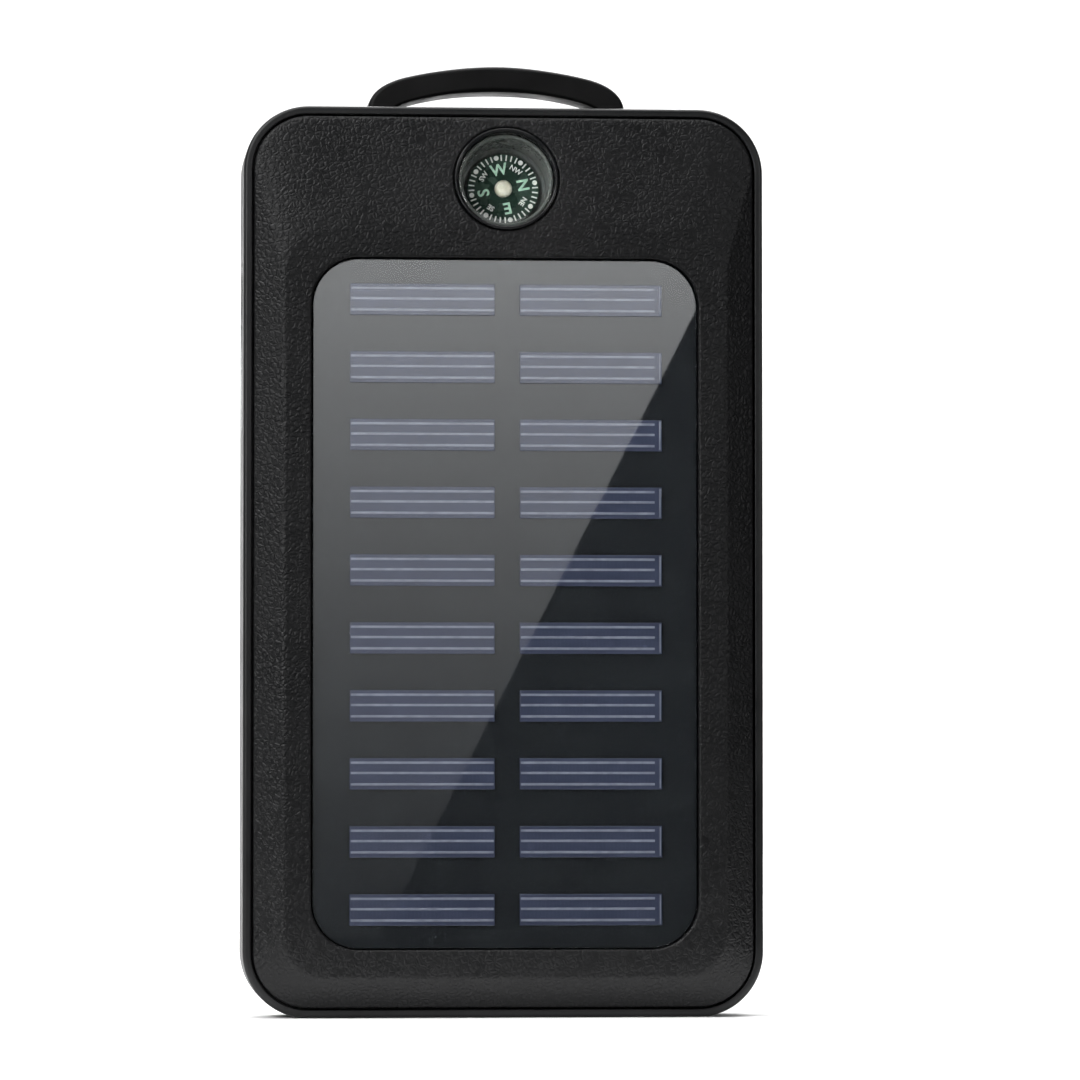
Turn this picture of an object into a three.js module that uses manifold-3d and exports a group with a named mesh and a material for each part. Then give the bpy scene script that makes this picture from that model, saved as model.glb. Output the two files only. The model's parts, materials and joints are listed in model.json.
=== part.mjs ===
// A pocket solar phone charger that stands upright on its bottom edge.
// Millimetres, +Z up, +X to the right seen from the front, the solar face towards -Y.
// The origin is the middle of the bottom edge.
import * as THREE from "three";
import { mergeVertices } from "three/addons/utils/BufferGeometryUtils.js";
import Module from "manifold-3d";

const wasm = await Module();
wasm.setup();

// ---------------------------------------------------------------- driving dimensions

const BODY = { width: 75, height: 131, corner: 9.4, back: 9, rimFront: -6.2 };
const RIM = { thickness: 1.2, chamfer: 0.35, seam: 0.3 }; // the rear shell's lip round the front cover
const BACK_ROUND = 2.6; // radius between the back and the sides
const WALL = { side: 2.4, back: 2 }; // the rear shell's walls behind the seal
const LEDGE_Y = -2.8; // where the rear shell steps inwards under the seal

// The front cover is a hipped roof: an edge level, slopes, and a flat plateau that holds the panel.
const COVER = { edgeY: -6.6, plateauY: -9, skirtBack: -3.9, thickness: 1.4 };
const PLATEAU = { halfWidth: 31.8, bottom: 5.7, top: 113.2, corner: 6.5 };

const PANEL = { width: 55.3, bottom: 10, top: 108.8, corner: 6.7 };
const POCKET = { gap: 0.2, floorFront: -6.6, floorBack: -5.6, wall: 1.2 };
const PANEL_LAYERS = {
  cover: [-8.65, -8.3],
  cells: [-8.25, -8.05],
  ribbon: [-8.12, -8.0],
  board: [-7.95, -6.97],
  tape: [-6.92, -6.67],
};
const CELL_ROWS = { count: 10, first: 15.5, pitch: 9.72, height: 4.5 };
const CELL_COLUMNS = { left: [-22.3, -1.5], right: [2.1, 22.6] };
const RIBBON_WIDTH = 1.4;

const COMPASS = { x: 0.2, z: 120.5, bezelRadius: 7.5, depth: 7.6 };
const CARD = { radius: 5.2, depth: 6.1, thickness: 0.3 };

const SCREW_SPOTS = [
  [-30.2, 7.3],
  [30.2, 7.3],
  [-32.2, 66],
  [32.2, 66],
  [-30.2, 123.7],
  [30.2, 123.7],
];
const SCREW = { head: 2, headFront: 7.4, headBack: 8.7, shank: 0.95, tip: -3.2 };

const STRAP = { x: -0.8, front: -2.3, back: 4.7, outer: 18.6, inner: 14.4 };
// Half of the strap's arch, from a foot to the crown, as the [x, height above the case] points
// that guide two joined curves on each side.
const STRAP_OUTSIDE = [[18.6, 0.4], [18.3, 2.6], [16.2, 4], [13.2, 4.75], [9.5, 5.65], [4.5, 6.4], [0, 6.4]];
const STRAP_INSIDE = [[14.4, 0.4], [13, 1.2], [10.8, 1.65], [8.6, 2.05], [6, 2.5], [3, 2.7], [0, 2.7]];
const STRAP_PIN = { x: 16.4, z: 126.2, radius: 0.9, front: -4, back: 6.4 };
const STRAP_FOOT_Z = 123.8;

const BOARD = { left: -33.8, right: 33.6, bottom: 80.5, top: 120.3, front: -3.3, back: -2.1 };
const COMPASS_NOTCH = { halfWidth: 8.2, bottom: 112 }; // the board's cut-out behind the compass
const SIDE_Y = 1.4; // ports, button and light pipe are centred here, in the flat of the side walls

const USB_A = { width: 14.4, height: 6.8, wall: 0.35, inner: 22.2, mouth: 36.1 };
const USB_A_HEIGHTS = { upper: 112.6, lower: 88.4 };
const USB_C = { width: 8.9, height: 3.4, wall: 0.3, inner: 28.6, mouth: 36.1, z: 100.5 };
const PORT_COVER = {
  inner: 36.4,
  bottom: 79.6,
  top: 121.4,
  front: -2.4,
  hinge: 5.3,
  anchorBack: 6.3,
  corner: 1.5,
};

const BUTTON = { z: 104, length: 9, width: 4.4, flange: 1, hole: 0.25 };
const LIGHT_PIPE = { bottom: 84.5, top: 96.5, width: 1.6 };
const INDICATORS = { count: 4, first: 86, pitch: 3 };

const BATTERY = { halfWidth: 29, bottom: 10.4, top: 75.5 };
const BATTERY_LAYERS = { front: [-5, 0.1], foam: [0.3, 1.1], rear: [1.3, 6.3] };

const FLOOD = { halfWidth: 18, bottom: 88, top: 116, corner: 3.5, flange: 1.2 };
const FLOOD_LAYERS = { board: [3.8, 4.6], chip: 5, reflector: [4.8, 6.2], flange: [6.4, 6.9], lens: 8.8 };
const FLOOD_CHIPS = { columns: 4, rows: 3, opening: 5.6, size: 2.8 };

const CORNER_STEPS = 7; // straight pieces in each quarter turn of a large outline
const SMALL_STEPS = 3; // the same on a small piece
const ROUND_STEPS = 14; // straight pieces round a small rod or hole
const COMPASS_STEPS = 28; // straight pieces round the compass

// ---------------------------------------------------------------- shapes and booleans

const X = new THREE.Vector3(1, 0, 0);
const Y = new THREE.Vector3(0, 1, 0);
const Z = new THREE.Vector3(0, 0, 1);

function box([x0, x1], [y0, y1], [z0, z1]) {
  const geometry = new THREE.BoxGeometry(x1 - x0, y1 - y0, z1 - z0);
  return geometry.translate((x0 + x1) / 2, (y0 + y1) / 2, (z0 + z1) / 2);
}

function roundedShape([a0, a1], [b0, b1], r) {
  const shape = new THREE.Shape();
  shape.absarc(a1 - r, b0 + r, r, -Math.PI / 2, 0);
  shape.absarc(a1 - r, b1 - r, r, 0, Math.PI / 2);
  shape.absarc(a0 + r, b1 - r, r, Math.PI / 2, Math.PI);
  shape.absarc(a0 + r, b0 + r, r, Math.PI, 1.5 * Math.PI);
  shape.closePath();
  return shape;
}

function extruded(shape, depth, curveSegments) {
  return new THREE.ExtrudeGeometry(shape, { depth, bevelEnabled: false, curveSegments });
}

// A shape drawn in X and Z, extruded from y0 to y1.
function prismY(shape, [y0, y1], steps = SMALL_STEPS) {
  const turn = new THREE.Matrix4().makeBasis(X, Z, Y.clone().negate());
  return extruded(shape, y1 - y0, steps).applyMatrix4(turn).translate(0, y1, 0);
}

// A shape drawn in Y and Z, extruded from x0 to x1.
function prismX(shape, [x0, x1]) {
  const turn = new THREE.Matrix4().makeBasis(Y, Z, X);
  return extruded(shape, x1 - x0, SMALL_STEPS).applyMatrix4(turn).translate(x0, 0, 0);
}

function rodY(radius, x, z, [y0, y1], steps = ROUND_STEPS) {
  return new THREE.CylinderGeometry(radius, radius, y1 - y0, steps).translate(x, (y0 + y1) / 2, z);
}

function rodX(radius, y, z, [x0, x1], steps = ROUND_STEPS) {
  const rod = new THREE.CylinderGeometry(radius, radius, x1 - x0, steps).rotateZ(Math.PI / 2);
  return rod.translate((x0 + x1) / 2, y, z);
}

// A closed ring of points at height y: a rectangle with round corners, anticlockwise seen from the front.
function outline(halfWidth, bottom, top, corner, y) {
  const centres = [
    [halfWidth - corner, bottom + corner],
    [halfWidth - corner, top - corner],
    [-halfWidth + corner, top - corner],
    [-halfWidth + corner, bottom + corner],
  ];
  return centres.flatMap(([x, z], quarter) =>
    Array.from({ length: CORNER_STEPS + 1 }, (_, step) => {
      const angle = ((quarter - 1 + step / CORNER_STEPS) * Math.PI) / 2;
      return new THREE.Vector3(x + corner * Math.cos(angle), y, z + corner * Math.sin(angle));
    }),
  );
}

// The body's own outline, moved inwards.
function bodyOutline(inset, y) {
  return outline(BODY.width / 2 - inset, inset, BODY.height - inset, BODY.corner - inset, y);
}

// A closed solid ruled between outlines, listed from the front to the back.
function ruled(rings) {
  const count = rings[0].length;
  const points = rings.flat();
  const triangles = [];
  const centre = (ring) => ring.reduce((sum, p) => sum.add(p), new THREE.Vector3()).divideScalar(count);
  const front = points.push(centre(rings[0])) - 1;
  const back = points.push(centre(rings[rings.length - 1])) - 1;
  const last = (rings.length - 1) * count;
  for (let i = 0; i < count; i += 1) {
    const j = (i + 1) % count;
    triangles.push(front, i, j, back, last + j, last + i);
    for (let level = 0; level < last; level += count) {
      triangles.push(level + i, level + count + i, level + j);
      triangles.push(level + j, level + count + i, level + count + j);
    }
  }
  const geometry = new THREE.BufferGeometry().setFromPoints(points);
  geometry.setIndex(triangles);
  return geometry;
}

// A solid of revolution about local Y, from a profile of [radius, depth] points.
function turned(profile, steps = COMPASS_STEPS) {
  return new THREE.LatheGeometry(
    profile.map(([radius, depth]) => new THREE.Vector2(radius, depth)),
    steps,
  );
}

function tube(radius, points) {
  const path = new THREE.CatmullRomCurve3(points.map((p) => new THREE.Vector3(...p)));
  const section = new THREE.Shape().absarc(0, 0, radius, 0, 2 * Math.PI);
  return new THREE.ExtrudeGeometry(section, {
    steps: 8,
    curveSegments: 8,
    bevelEnabled: false,
    extrudePath: path,
  });
}

function solid(geometry) {
  const bare = geometry.clone();
  bare.deleteAttribute("normal");
  bare.deleteAttribute("uv");
  const merged = mergeVertices(bare, 1e-4);
  return new wasm.Manifold(
    new wasm.Mesh({
      numProp: 3,
      vertProperties: new Float32Array(merged.attributes.position.array),
      triVerts: new Uint32Array(merged.index.array),
    }),
  );
}

function geometryOf(body) {
  const mesh = body.getMesh();
  const geometry = new THREE.BufferGeometry();
  geometry.setAttribute("position", new THREE.BufferAttribute(mesh.vertProperties, 3));
  geometry.setIndex(new THREE.BufferAttribute(mesh.triVerts, 1));
  geometry.computeVertexNormals();
  return geometry;
}

const join = (...pieces) => geometryOf(pieces.map(solid).reduce((sum, piece) => sum.add(piece)));
const cut = (base, ...tools) =>
  geometryOf(tools.map(solid).reduce((rest, tool) => rest.subtract(tool), solid(base)));
const common = (a, b) => geometryOf(solid(a).intersect(solid(b)));

// ---------------------------------------------------------------- the scene graph

const charger = new THREE.Group();
charger.name = "solar_phone_charger";

const FINISHES = {
  coverPlastic: { color: 0x242527, roughness: 0.55 },
  shellPlastic: { color: 0x18191a, roughness: 0.4 },
  rubber: { color: 0x101010, roughness: 0.6 },
  blackPart: { color: 0x0d0e10, roughness: 0.35 },
  steel: { color: 0xa9abae, roughness: 0.3, metalness: 1 },
  tin: { color: 0xc3c6ca, roughness: 0.35, metalness: 1 },
  clear: { color: 0xdfe6ea, roughness: 0.05, transparent: true, opacity: 0.35 },
  silicon: { color: 0x3c445a, roughness: 0.25, metalness: 0.3 },
  maskBlack: { color: 0x202428, roughness: 0.5 },
  maskGreen: { color: 0x14492c, roughness: 0.45 },
  whitePart: { color: 0xe9e9e4, roughness: 0.5 },
  ledResin: { color: 0xf0e3a0, roughness: 0.3 },
  pouch: { color: 0xb9bdc2, roughness: 0.4, metalness: 0.6 },
  tape: { color: 0x2a2c2f, roughness: 0.8 },
  ferrite: { color: 0x35373b, roughness: 0.7 },
  redWire: { color: 0xa8201c, roughness: 0.5 },
  blackWire: { color: 0x15161a, roughness: 0.5 },
  ivory: { color: 0xf2ecd8, roughness: 0.4 },
  brass: { color: 0xc9a04e, roughness: 0.3, metalness: 1 },
};

function add(name, finish, geometry, parent = charger) {
  const mesh = new THREE.Mesh(geometry, new THREE.MeshStandardMaterial(FINISHES[finish]));
  mesh.name = name;
  parent.add(mesh);
  return mesh;
}

// ---------------------------------------------------------------- the compass's own frame

// The compass sits square on the long top slope, so its axis leans with that slope.
const SLOPE = (() => {
  const top = BODY.height - RIM.thickness - RIM.seam;
  const fall = COVER.edgeY - COVER.plateauY;
  const run = top - PLATEAU.top;
  return {
    tilt: Math.atan2(fall, run),
    y: COVER.plateauY + (fall * (COMPASS.z - PLATEAU.top)) / run,
  };
})();

// Local Y runs into the charger, from the slope's surface.
const compass = new THREE.Group();
compass.position.set(COMPASS.x, SLOPE.y, COMPASS.z);
compass.rotation.x = -SLOPE.tilt;
compass.updateMatrix();
charger.add(compass);

const onSlope = (geometry) => geometry.applyMatrix4(compass.matrix);

// ---------------------------------------------------------------- the case

function frontCover() {
  const inset = RIM.thickness + RIM.seam;
  const inner = inset + COVER.thickness;
  const shift = COVER.thickness;
  const plateau = (offset, y) =>
    outline(
      PLATEAU.halfWidth - offset,
      PLATEAU.bottom + offset,
      PLATEAU.top - offset,
      PLATEAU.corner - offset,
      y,
    );
  const roof = ruled([
    plateau(0, COVER.plateauY),
    bodyOutline(inset, COVER.edgeY),
    bodyOutline(inset, COVER.skirtBack),
  ]);
  const hollow = ruled([
    plateau(shift / 2, COVER.plateauY + shift),
    bodyOutline(inner, COVER.edgeY + shift),
    bodyOutline(inner, COVER.skirtBack + 1),
  ]);
  const side = PANEL.width / 2 + POCKET.gap;
  const low = PANEL.bottom - POCKET.gap;
  const high = PANEL.top + POCKET.gap;
  const wall = POCKET.wall;
  const pan = prismY(
    roundedShape([-side - wall, side + wall], [low - wall, high + wall], PANEL.corner + POCKET.gap + wall),
    [COVER.plateauY + shift / 2, POCKET.floorBack],
    CORNER_STEPS,
  );
  const pocket = prismY(
    roundedShape([-side, side], [low, high], PANEL.corner + POCKET.gap),
    [COVER.plateauY - 1, POCKET.floorFront],
    CORNER_STEPS,
  );
  const leadHoles = [-3, 3].map((x) => rodY(1.2, x, 100, [POCKET.floorFront - 1, POCKET.floorBack + 1]));
  const posts = SCREW_SPOTS.map(([x, z]) => rodY(2.2, x, z, [COVER.edgeY + shift / 2, -0.2]));
  const pilots = SCREW_SPOTS.map(([x, z]) => rodY(SCREW.shank + 0.12, x, z, [SCREW.tip - 0.8, 0], 10));
  const pinPosts = strapPinSpots().map((x) =>
    rodY(2.1, x, STRAP_PIN.z, [COVER.edgeY + shift / 2, STRAP.front - 0.4]),
  );
  const pinSeats = strapPinSpots().map((x) =>
    rodY(STRAP_PIN.radius + 0.15, x, STRAP_PIN.z, [STRAP_PIN.front - 0.2, 0]),
  );
  const within = prismY(
    roundedShape([-30, 30], [60, BODY.height - inner + 0.3], 2),
    [COVER.plateauY, BODY.back],
  );
  const seat = common(onSlope(turned([[0, 0.5], [8.6, 0.5], [8.6, 3.4], [0, 3.4]])), within);
  const counterbore = onSlope(turned([[0, -2], [7.65, -2], [7.65, 1.2], [0, 1.2]]));
  const bore = onSlope(turned([[0, 1], [7.1, 1], [7.1, 9], [0, 9]]));
  const skinned = join(cut(roof, hollow), pan, seat, ...posts, ...pinPosts);
  return cut(skinned, pocket, counterbore, bore, ...leadHoles, ...pilots, ...pinSeats);
}

function rearShell() {
  const flat = BODY.back - BACK_ROUND;
  const rounds = [0, 30, 60, 90].map((degrees) => {
    const angle = (degrees * Math.PI) / 180;
    return bodyOutline(BACK_ROUND * (1 - Math.cos(angle)), flat + BACK_ROUND * Math.sin(angle));
  });
  const outer = ruled([
    bodyOutline(RIM.chamfer, BODY.rimFront),
    bodyOutline(0, BODY.rimFront + RIM.chamfer),
    ...rounds,
  ]);
  const mouth = ruled([
    bodyOutline(RIM.thickness, BODY.rimFront - 1),
    bodyOutline(RIM.thickness, LEDGE_Y),
  ]);
  const backWall = BODY.back - WALL.back;
  const room = ruled([bodyOutline(WALL.side, LEDGE_Y - 1), bodyOutline(WALL.side, backWall)]);
  const bosses = SCREW_SPOTS.map(([x, z]) => rodY(2.7, x, z, [0, backWall + 0.1]));
  const pinBosses = strapPinSpots().map((x) =>
    rodY(2.2, x, STRAP_PIN.z, [STRAP.back + 0.3, backWall + 0.1]),
  );
  const rib = box([-27, 27], [2.7, backWall + 0.1], [78, 79.2]);
  const filled = join(cut(outer, mouth, room), ...bosses, ...pinBosses, rib);
  return cut(filled, ...shellHoles(backWall));
}

function shellHoles(backWall) {
  const half = BODY.width / 2;
  const clear = SCREW_SPOTS.map(([x, z]) => rodY(1.25, x, z, [-1, BODY.back + 1], 10));
  const counterbores = SCREW_SPOTS.map(([x, z]) =>
    rodY(SCREW.head + 0.3, x, z, [SCREW.headFront - 0.2, BODY.back + 1]),
  );
  const pinSeats = strapPinSpots().map((x) =>
    rodY(STRAP_PIN.radius + 0.15, x, STRAP_PIN.z, [STRAP.back, STRAP_PIN.back + 0.2]),
  );
  const strapSlots = [-1, 1].map((side) => {
    const ends = [STRAP.inner - 0.3, STRAP.outer + 0.3].map((x) => STRAP.x + side * x);
    return box(
      [Math.min(...ends), Math.max(...ends)],
      [STRAP.front - 0.3, STRAP.back + 0.3],
      [BODY.height - 4, BODY.height + 1],
    );
  });
  const coverRecess = prismX(coverOutline(0.15), [PORT_COVER.inner - 0.1, half + 1]);
  const sockets = Object.values(USB_A_HEIGHTS).map((z) =>
    portPlug(USB_A.width + 0.4, USB_A.height + 0.4, 0.8, z, [half - 4, half]),
  );
  const socketC = portPlug(USB_C.width + 0.4, USB_C.height + 0.4, 1.8, USB_C.z, [half - 4, half]);
  const buttonHole = buttonPlug(BUTTON.hole, [-half - 1, -half + 4]);
  const window = pipeBar(0.15, [-half - 1, -half + 4]);
  const lensHole = prismY(floodShape(0.2), [backWall - 1, BODY.back + 1]);
  return [
    ...clear,
    ...counterbores,
    ...pinSeats,
    ...strapSlots,
    coverRecess,
    ...sockets,
    socketC,
    buttonHole,
    window,
    lensHole,
  ];
}

function perimeterSeal() {
  const inset = RIM.thickness + RIM.seam;
  const ends = [COVER.skirtBack + 0.1, LEDGE_Y - 0.1];
  const body = ruled(ends.map((y) => bodyOutline(inset, y)));
  return cut(body, ruled([bodyOutline(inset + 1, ends[0] - 1), bodyOutline(inset + 1, ends[1] + 1)]));
}

function rearScrew(x, z) {
  const head = rodY(SCREW.head, x, z, [SCREW.headFront, SCREW.headBack]);
  const shank = rodY(SCREW.shank, x, z, [SCREW.tip, SCREW.headFront + 0.1], 8);
  const slots = [
    box([x - 1.2, x + 1.2], [SCREW.headBack - 0.6, SCREW.headBack + 1], [z - 0.2, z + 0.2]),
    box([x - 0.2, x + 0.2], [SCREW.headBack - 0.6, SCREW.headBack + 1], [z - 1.2, z + 1.2]),
  ];
  return cut(join(head, shank), ...slots);
}

// ---------------------------------------------------------------- the carrying strap

function strapPinSpots() {
  return [STRAP.x - STRAP_PIN.x, STRAP.x + STRAP_PIN.x];
}

// Carries a shape on from its pen's place through guide points, three to a curve.
function curveOn(shape, guides) {
  for (let i = 0; i < guides.length; i += 3) {
    shape.bezierCurveTo(...guides[i], ...guides[i + 1], ...guides[i + 2]);
  }
}

// The strap is a shallow arch with round shoulders and two feet that reach into the case.
function carryStrap() {
  const { outer, inner } = STRAP;
  const feet = STRAP_FOOT_Z - BODY.height;
  const mirrored = ([x, z]) => [-x, z];
  const shape = new THREE.Shape();
  shape.moveTo(outer, feet);
  shape.lineTo(...STRAP_OUTSIDE[0]);
  curveOn(shape, STRAP_OUTSIDE.slice(1));
  curveOn(shape, STRAP_OUTSIDE.slice(0, -1).reverse().map(mirrored));
  shape.lineTo(-outer, feet);
  shape.lineTo(-inner, feet);
  shape.lineTo(...mirrored(STRAP_INSIDE[0]));
  curveOn(shape, STRAP_INSIDE.slice(1).map(mirrored));
  curveOn(shape, STRAP_INSIDE.slice(0, -1).reverse());
  shape.lineTo(inner, feet);
  shape.closePath();
  const strap = prismY(shape, [STRAP.front, STRAP.back], CORNER_STEPS).translate(STRAP.x, 0, BODY.height);
  const holes = strapPinSpots().map((x) =>
    rodY(STRAP_PIN.radius + 0.15, x, STRAP_PIN.z, [STRAP.front - 1, STRAP.back + 1]),
  );
  return cut(strap, ...holes);
}

function strapPin(x) {
  return rodY(STRAP_PIN.radius, x, STRAP_PIN.z, [STRAP_PIN.front, STRAP_PIN.back]);
}

// ---------------------------------------------------------------- the solar panel

function panelPlate(inset, layer) {
  const side = PANEL.width / 2 - inset;
  const shape = roundedShape([-side, side], [PANEL.bottom + inset, PANEL.top - inset], PANEL.corner - inset);
  return prismY(shape, layer, CORNER_STEPS);
}

function panelTape() {
  const [front, back] = PANEL_LAYERS.tape;
  return cut(panelPlate(0.6, [front, back]), panelPlate(6.2, [front - 1, back + 1]));
}

// Ten strips of silicon in one column, soldered to a tinned ribbon behind them.
function cellString([left, right]) {
  const strips = Array.from({ length: CELL_ROWS.count }, (_, row) => {
    const z = CELL_ROWS.first + row * CELL_ROWS.pitch;
    return box([left, right], PANEL_LAYERS.cells, [z - CELL_ROWS.height / 2, z + CELL_ROWS.height / 2]);
  });
  const middle = (left + right) / 2;
  const last = CELL_ROWS.first + (CELL_ROWS.count - 1) * CELL_ROWS.pitch;
  const ribbon = box(
    [middle - RIBBON_WIDTH / 2, middle + RIBBON_WIDTH / 2],
    PANEL_LAYERS.ribbon,
    [CELL_ROWS.first - 1, last + 1],
  );
  return join(ribbon, ...strips);
}

function panelLead(side) {
  return tube(0.45, [
    [3 * side, PANEL_LAYERS.tape[0] + 0.1, 100],
    [3 * side, POCKET.floorBack + 0.4, 99.6],
    [4.6 * side, POCKET.floorBack + 0.8, 96],
    [5 * side, BOARD.front - 0.9, 93.2],
    [5 * side, BOARD.front - 0.2, 93],
  ]);
}

// ---------------------------------------------------------------- the compass

function compassPieces() {
  const radius = COMPASS.bezelRadius;
  const floor = COMPASS.depth - 0.6;
  const under = CARD.depth + CARD.thickness;
  const rest = CARD.depth - 0.06;
  return {
    compass_bezel: turned([
      [radius - 0.55, 1],
      [radius - 0.55, -0.1],
      [radius - 0.3, -0.35],
      [radius - 0.15, -0.35],
      [radius, -0.2],
      [radius, 1],
      [radius - 0.55, 1],
    ]),
    compass_lens: turned([[0, 0.6], [0, -0.32], [3.5, -0.26], [6.1, -0.14], [6.8, 0], [6.8, 0.6], [0, 0.6]]),
    compass_cup: turned([
      [0, COMPASS.depth],
      [0, floor],
      [6.1, floor],
      [6.3, floor - 0.2],
      [6.3, 0.9],
      [6.85, 0.9],
      [6.85, COMPASS.depth],
      [0, COMPASS.depth],
    ]),
    compass_pivot: turned(
      [
        [0, floor - 0.1],
        [0, CARD.depth - 0.45],
        [0.25, CARD.depth - 0.2],
        [0.25, floor - 0.35],
        [0.8, floor - 0.1],
        [0, floor - 0.1],
      ],
      ROUND_STEPS,
    ),
    compass_card: turned([
      [0.6, under],
      [0.6, CARD.depth],
      [CARD.radius, CARD.depth],
      [CARD.radius, under],
      [0.6, under],
    ]),
    compass_magnet: turned(
      [[1.2, under + 0.35], [1.2, under + 0.06], [3, under + 0.06], [3, under + 0.35], [1.2, under + 0.35]],
      ROUND_STEPS,
    ),
    compass_cap: turned(
      [
        [0, CARD.depth - 0.59],
        [0, CARD.depth - 0.85],
        [0.7, CARD.depth - 0.79],
        [1.15, CARD.depth - 0.55],
        [1.3, CARD.depth - 0.25],
        [1.3, rest],
        [0.5, rest],
        [0.5, CARD.depth - 0.4],
        [0, CARD.depth - 0.59],
      ],
      ROUND_STEPS,
    ),
  };
}

// ---------------------------------------------------------------- the electronics

function mainBoard() {
  const { left, right, bottom, top, front, back } = BOARD;
  const plate = prismY(roundedShape([left, right], [bottom, top], 1), [front, back]);
  const notch = box(
    [COMPASS.x - COMPASS_NOTCH.halfWidth, COMPASS.x + COMPASS_NOTCH.halfWidth],
    [front - 1, back + 1],
    [COMPASS_NOTCH.bottom, top + 1],
  );
  return cut(plate, notch);
}

// A port outline on the side of the case, extruded along X.
function portPlug(width, height, corner, z, span) {
  const shape = roundedShape([SIDE_Y - height / 2, SIDE_Y + height / 2], [z - width / 2, z + width / 2], corner);
  return prismX(shape, span);
}

function portShell({ width, height, wall, inner, mouth }, corner, z) {
  const inside = Math.max(corner - wall, 0.3);
  return cut(
    portPlug(width, height, corner, z, [inner, mouth]),
    portPlug(width - 2 * wall, height - 2 * wall, inside, z, [inner + wall, mouth + 1]),
  );
}

function usbATongue(z) {
  const back = USB_A.inner + USB_A.wall + 0.1;
  const block = box([back, back + 2], [SIDE_Y - 2.7, SIDE_Y + 2.7], [z - 6.3, z + 6.3]);
  const tongue = box([back + 1.9, USB_A.mouth - 1.6], [SIDE_Y + 0.4, SIDE_Y + 2.2], [z - 5.6, z + 5.6]);
  return join(block, tongue);
}

function usbCTongue() {
  const back = USB_C.inner + USB_C.wall + 0.1;
  const block = box([back, back + 1.5], [SIDE_Y - 1.1, SIDE_Y + 1.1], [USB_C.z - 3, USB_C.z + 3]);
  const tongue = box([back + 1.4, USB_C.mouth - 1.6], [SIDE_Y - 0.35, SIDE_Y + 0.35], [USB_C.z - 3.2, USB_C.z + 3.2]);
  return join(block, tongue);
}

const onBoardBack = (height) => [BOARD.back + 0.1, BOARD.back + 0.1 + height];

function powerInductor() {
  const shape = roundedShape([2, 9], [96, 103], 1.2);
  return prismY(shape, onBoardBack(3));
}

// A side-pressed switch with a blind hole for its plunger.
function tactileSwitch() {
  const body = box([-33.4, -29.4], onBoardBack(5.4), [BUTTON.z - 3, BUTTON.z + 3]);
  return cut(body, rodX(1, SIDE_Y, BUTTON.z, [-34, -31.6]));
}

function indicatorLed(index) {
  const z = INDICATORS.first + index * INDICATORS.pitch;
  return box([-33.6, -32.6], onBoardBack(0.8), [z - 0.8, z + 0.8]);
}

function pipeBar(clearance, span) {
  const half = LIGHT_PIPE.width / 2 + clearance;
  const ends = [LIGHT_PIPE.bottom - clearance, LIGHT_PIPE.top + clearance];
  return prismX(roundedShape([SIDE_Y - half, SIDE_Y + half], ends, half - 0.02), span);
}

function indicatorLightPipe() {
  const wallInside = WALL.side - BODY.width / 2;
  const inside = box([wallInside + 0.1, BOARD.left - 0.05], [BOARD.back + 0.1, SIDE_Y + 0.9], [84.3, 96.7]);
  return join(pipeBar(0, [-BODY.width / 2, wallInside + 0.6]), inside);
}

// ---------------------------------------------------------------- the power button

function buttonPlug(clearance, span) {
  const half = BUTTON.width / 2 + clearance;
  const reach = BUTTON.length / 2 + clearance;
  return prismX(
    roundedShape([SIDE_Y - half, SIDE_Y + half], [BUTTON.z - reach, BUTTON.z + reach], half - 0.02),
    span,
  );
}

function powerButton() {
  const wallInside = WALL.side - BODY.width / 2;
  return join(
    buttonPlug(0, [-BODY.width / 2, wallInside + 0.5]),
    buttonPlug(BUTTON.flange, [wallInside + 0.2, wallInside + 0.8]),
  );
}

// ---------------------------------------------------------------- the battery

function batteryCell(layer) {
  const { halfWidth, bottom, top } = BATTERY;
  return prismY(roundedShape([-halfWidth, halfWidth], [bottom, top], 1.5), layer);
}

function batteryLead(x) {
  return tube(0.6, [
    [x, 0.6, BATTERY.top + 1.4],
    [x, 1, 80],
    [x, 0, 83.5],
    [x, BOARD.back + 1.2, 85.4],
    [x, BOARD.back + 0.3, 85.6],
  ]);
}

// ---------------------------------------------------------------- the port cover

// The whole rubber moulding: the cover that opens and the anchor strip along its rear edge.
function coverOutline(offset) {
  const { front, anchorBack, bottom, top, corner } = PORT_COVER;
  return roundedShape([front - offset, anchorBack + offset], [bottom - offset, top + offset], corner + offset);
}

function coverBetween(y0, y1) {
  const { inner, bottom, top } = PORT_COVER;
  const outside = BODY.width / 2;
  return common(
    prismX(coverOutline(0), [inner, outside]),
    box([inner - 1, outside + 1], [y0, y1], [bottom - 1, top + 1]),
  );
}

// The cover and its short plugs, which keep dust and splashes out of the three sockets.
function portCover() {
  const { inner, front, hinge } = PORT_COVER;
  const plugs = Object.values(USB_A_HEIGHTS).map((z) =>
    portPlug(USB_A.width - 2.4, USB_A.height - 2.4, 0.6, z, [inner - 1, inner + 0.2]),
  );
  const plugC = portPlug(USB_C.width - 1.8, USB_C.height - 1.6, 0.7, USB_C.z, [inner - 1, inner + 0.2]);
  return join(coverBetween(front - 1, hinge - 0.1), plugC, ...plugs);
}

function portCoverAnchor() {
  return coverBetween(PORT_COVER.hinge + 0.1, PORT_COVER.anchorBack + 1);
}

// ---------------------------------------------------------------- the flood light

function floodShape(offset) {
  const side = FLOOD.halfWidth + offset;
  return roundedShape([-side, side], [FLOOD.bottom - offset, FLOOD.top + offset], FLOOD.corner + offset);
}

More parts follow.
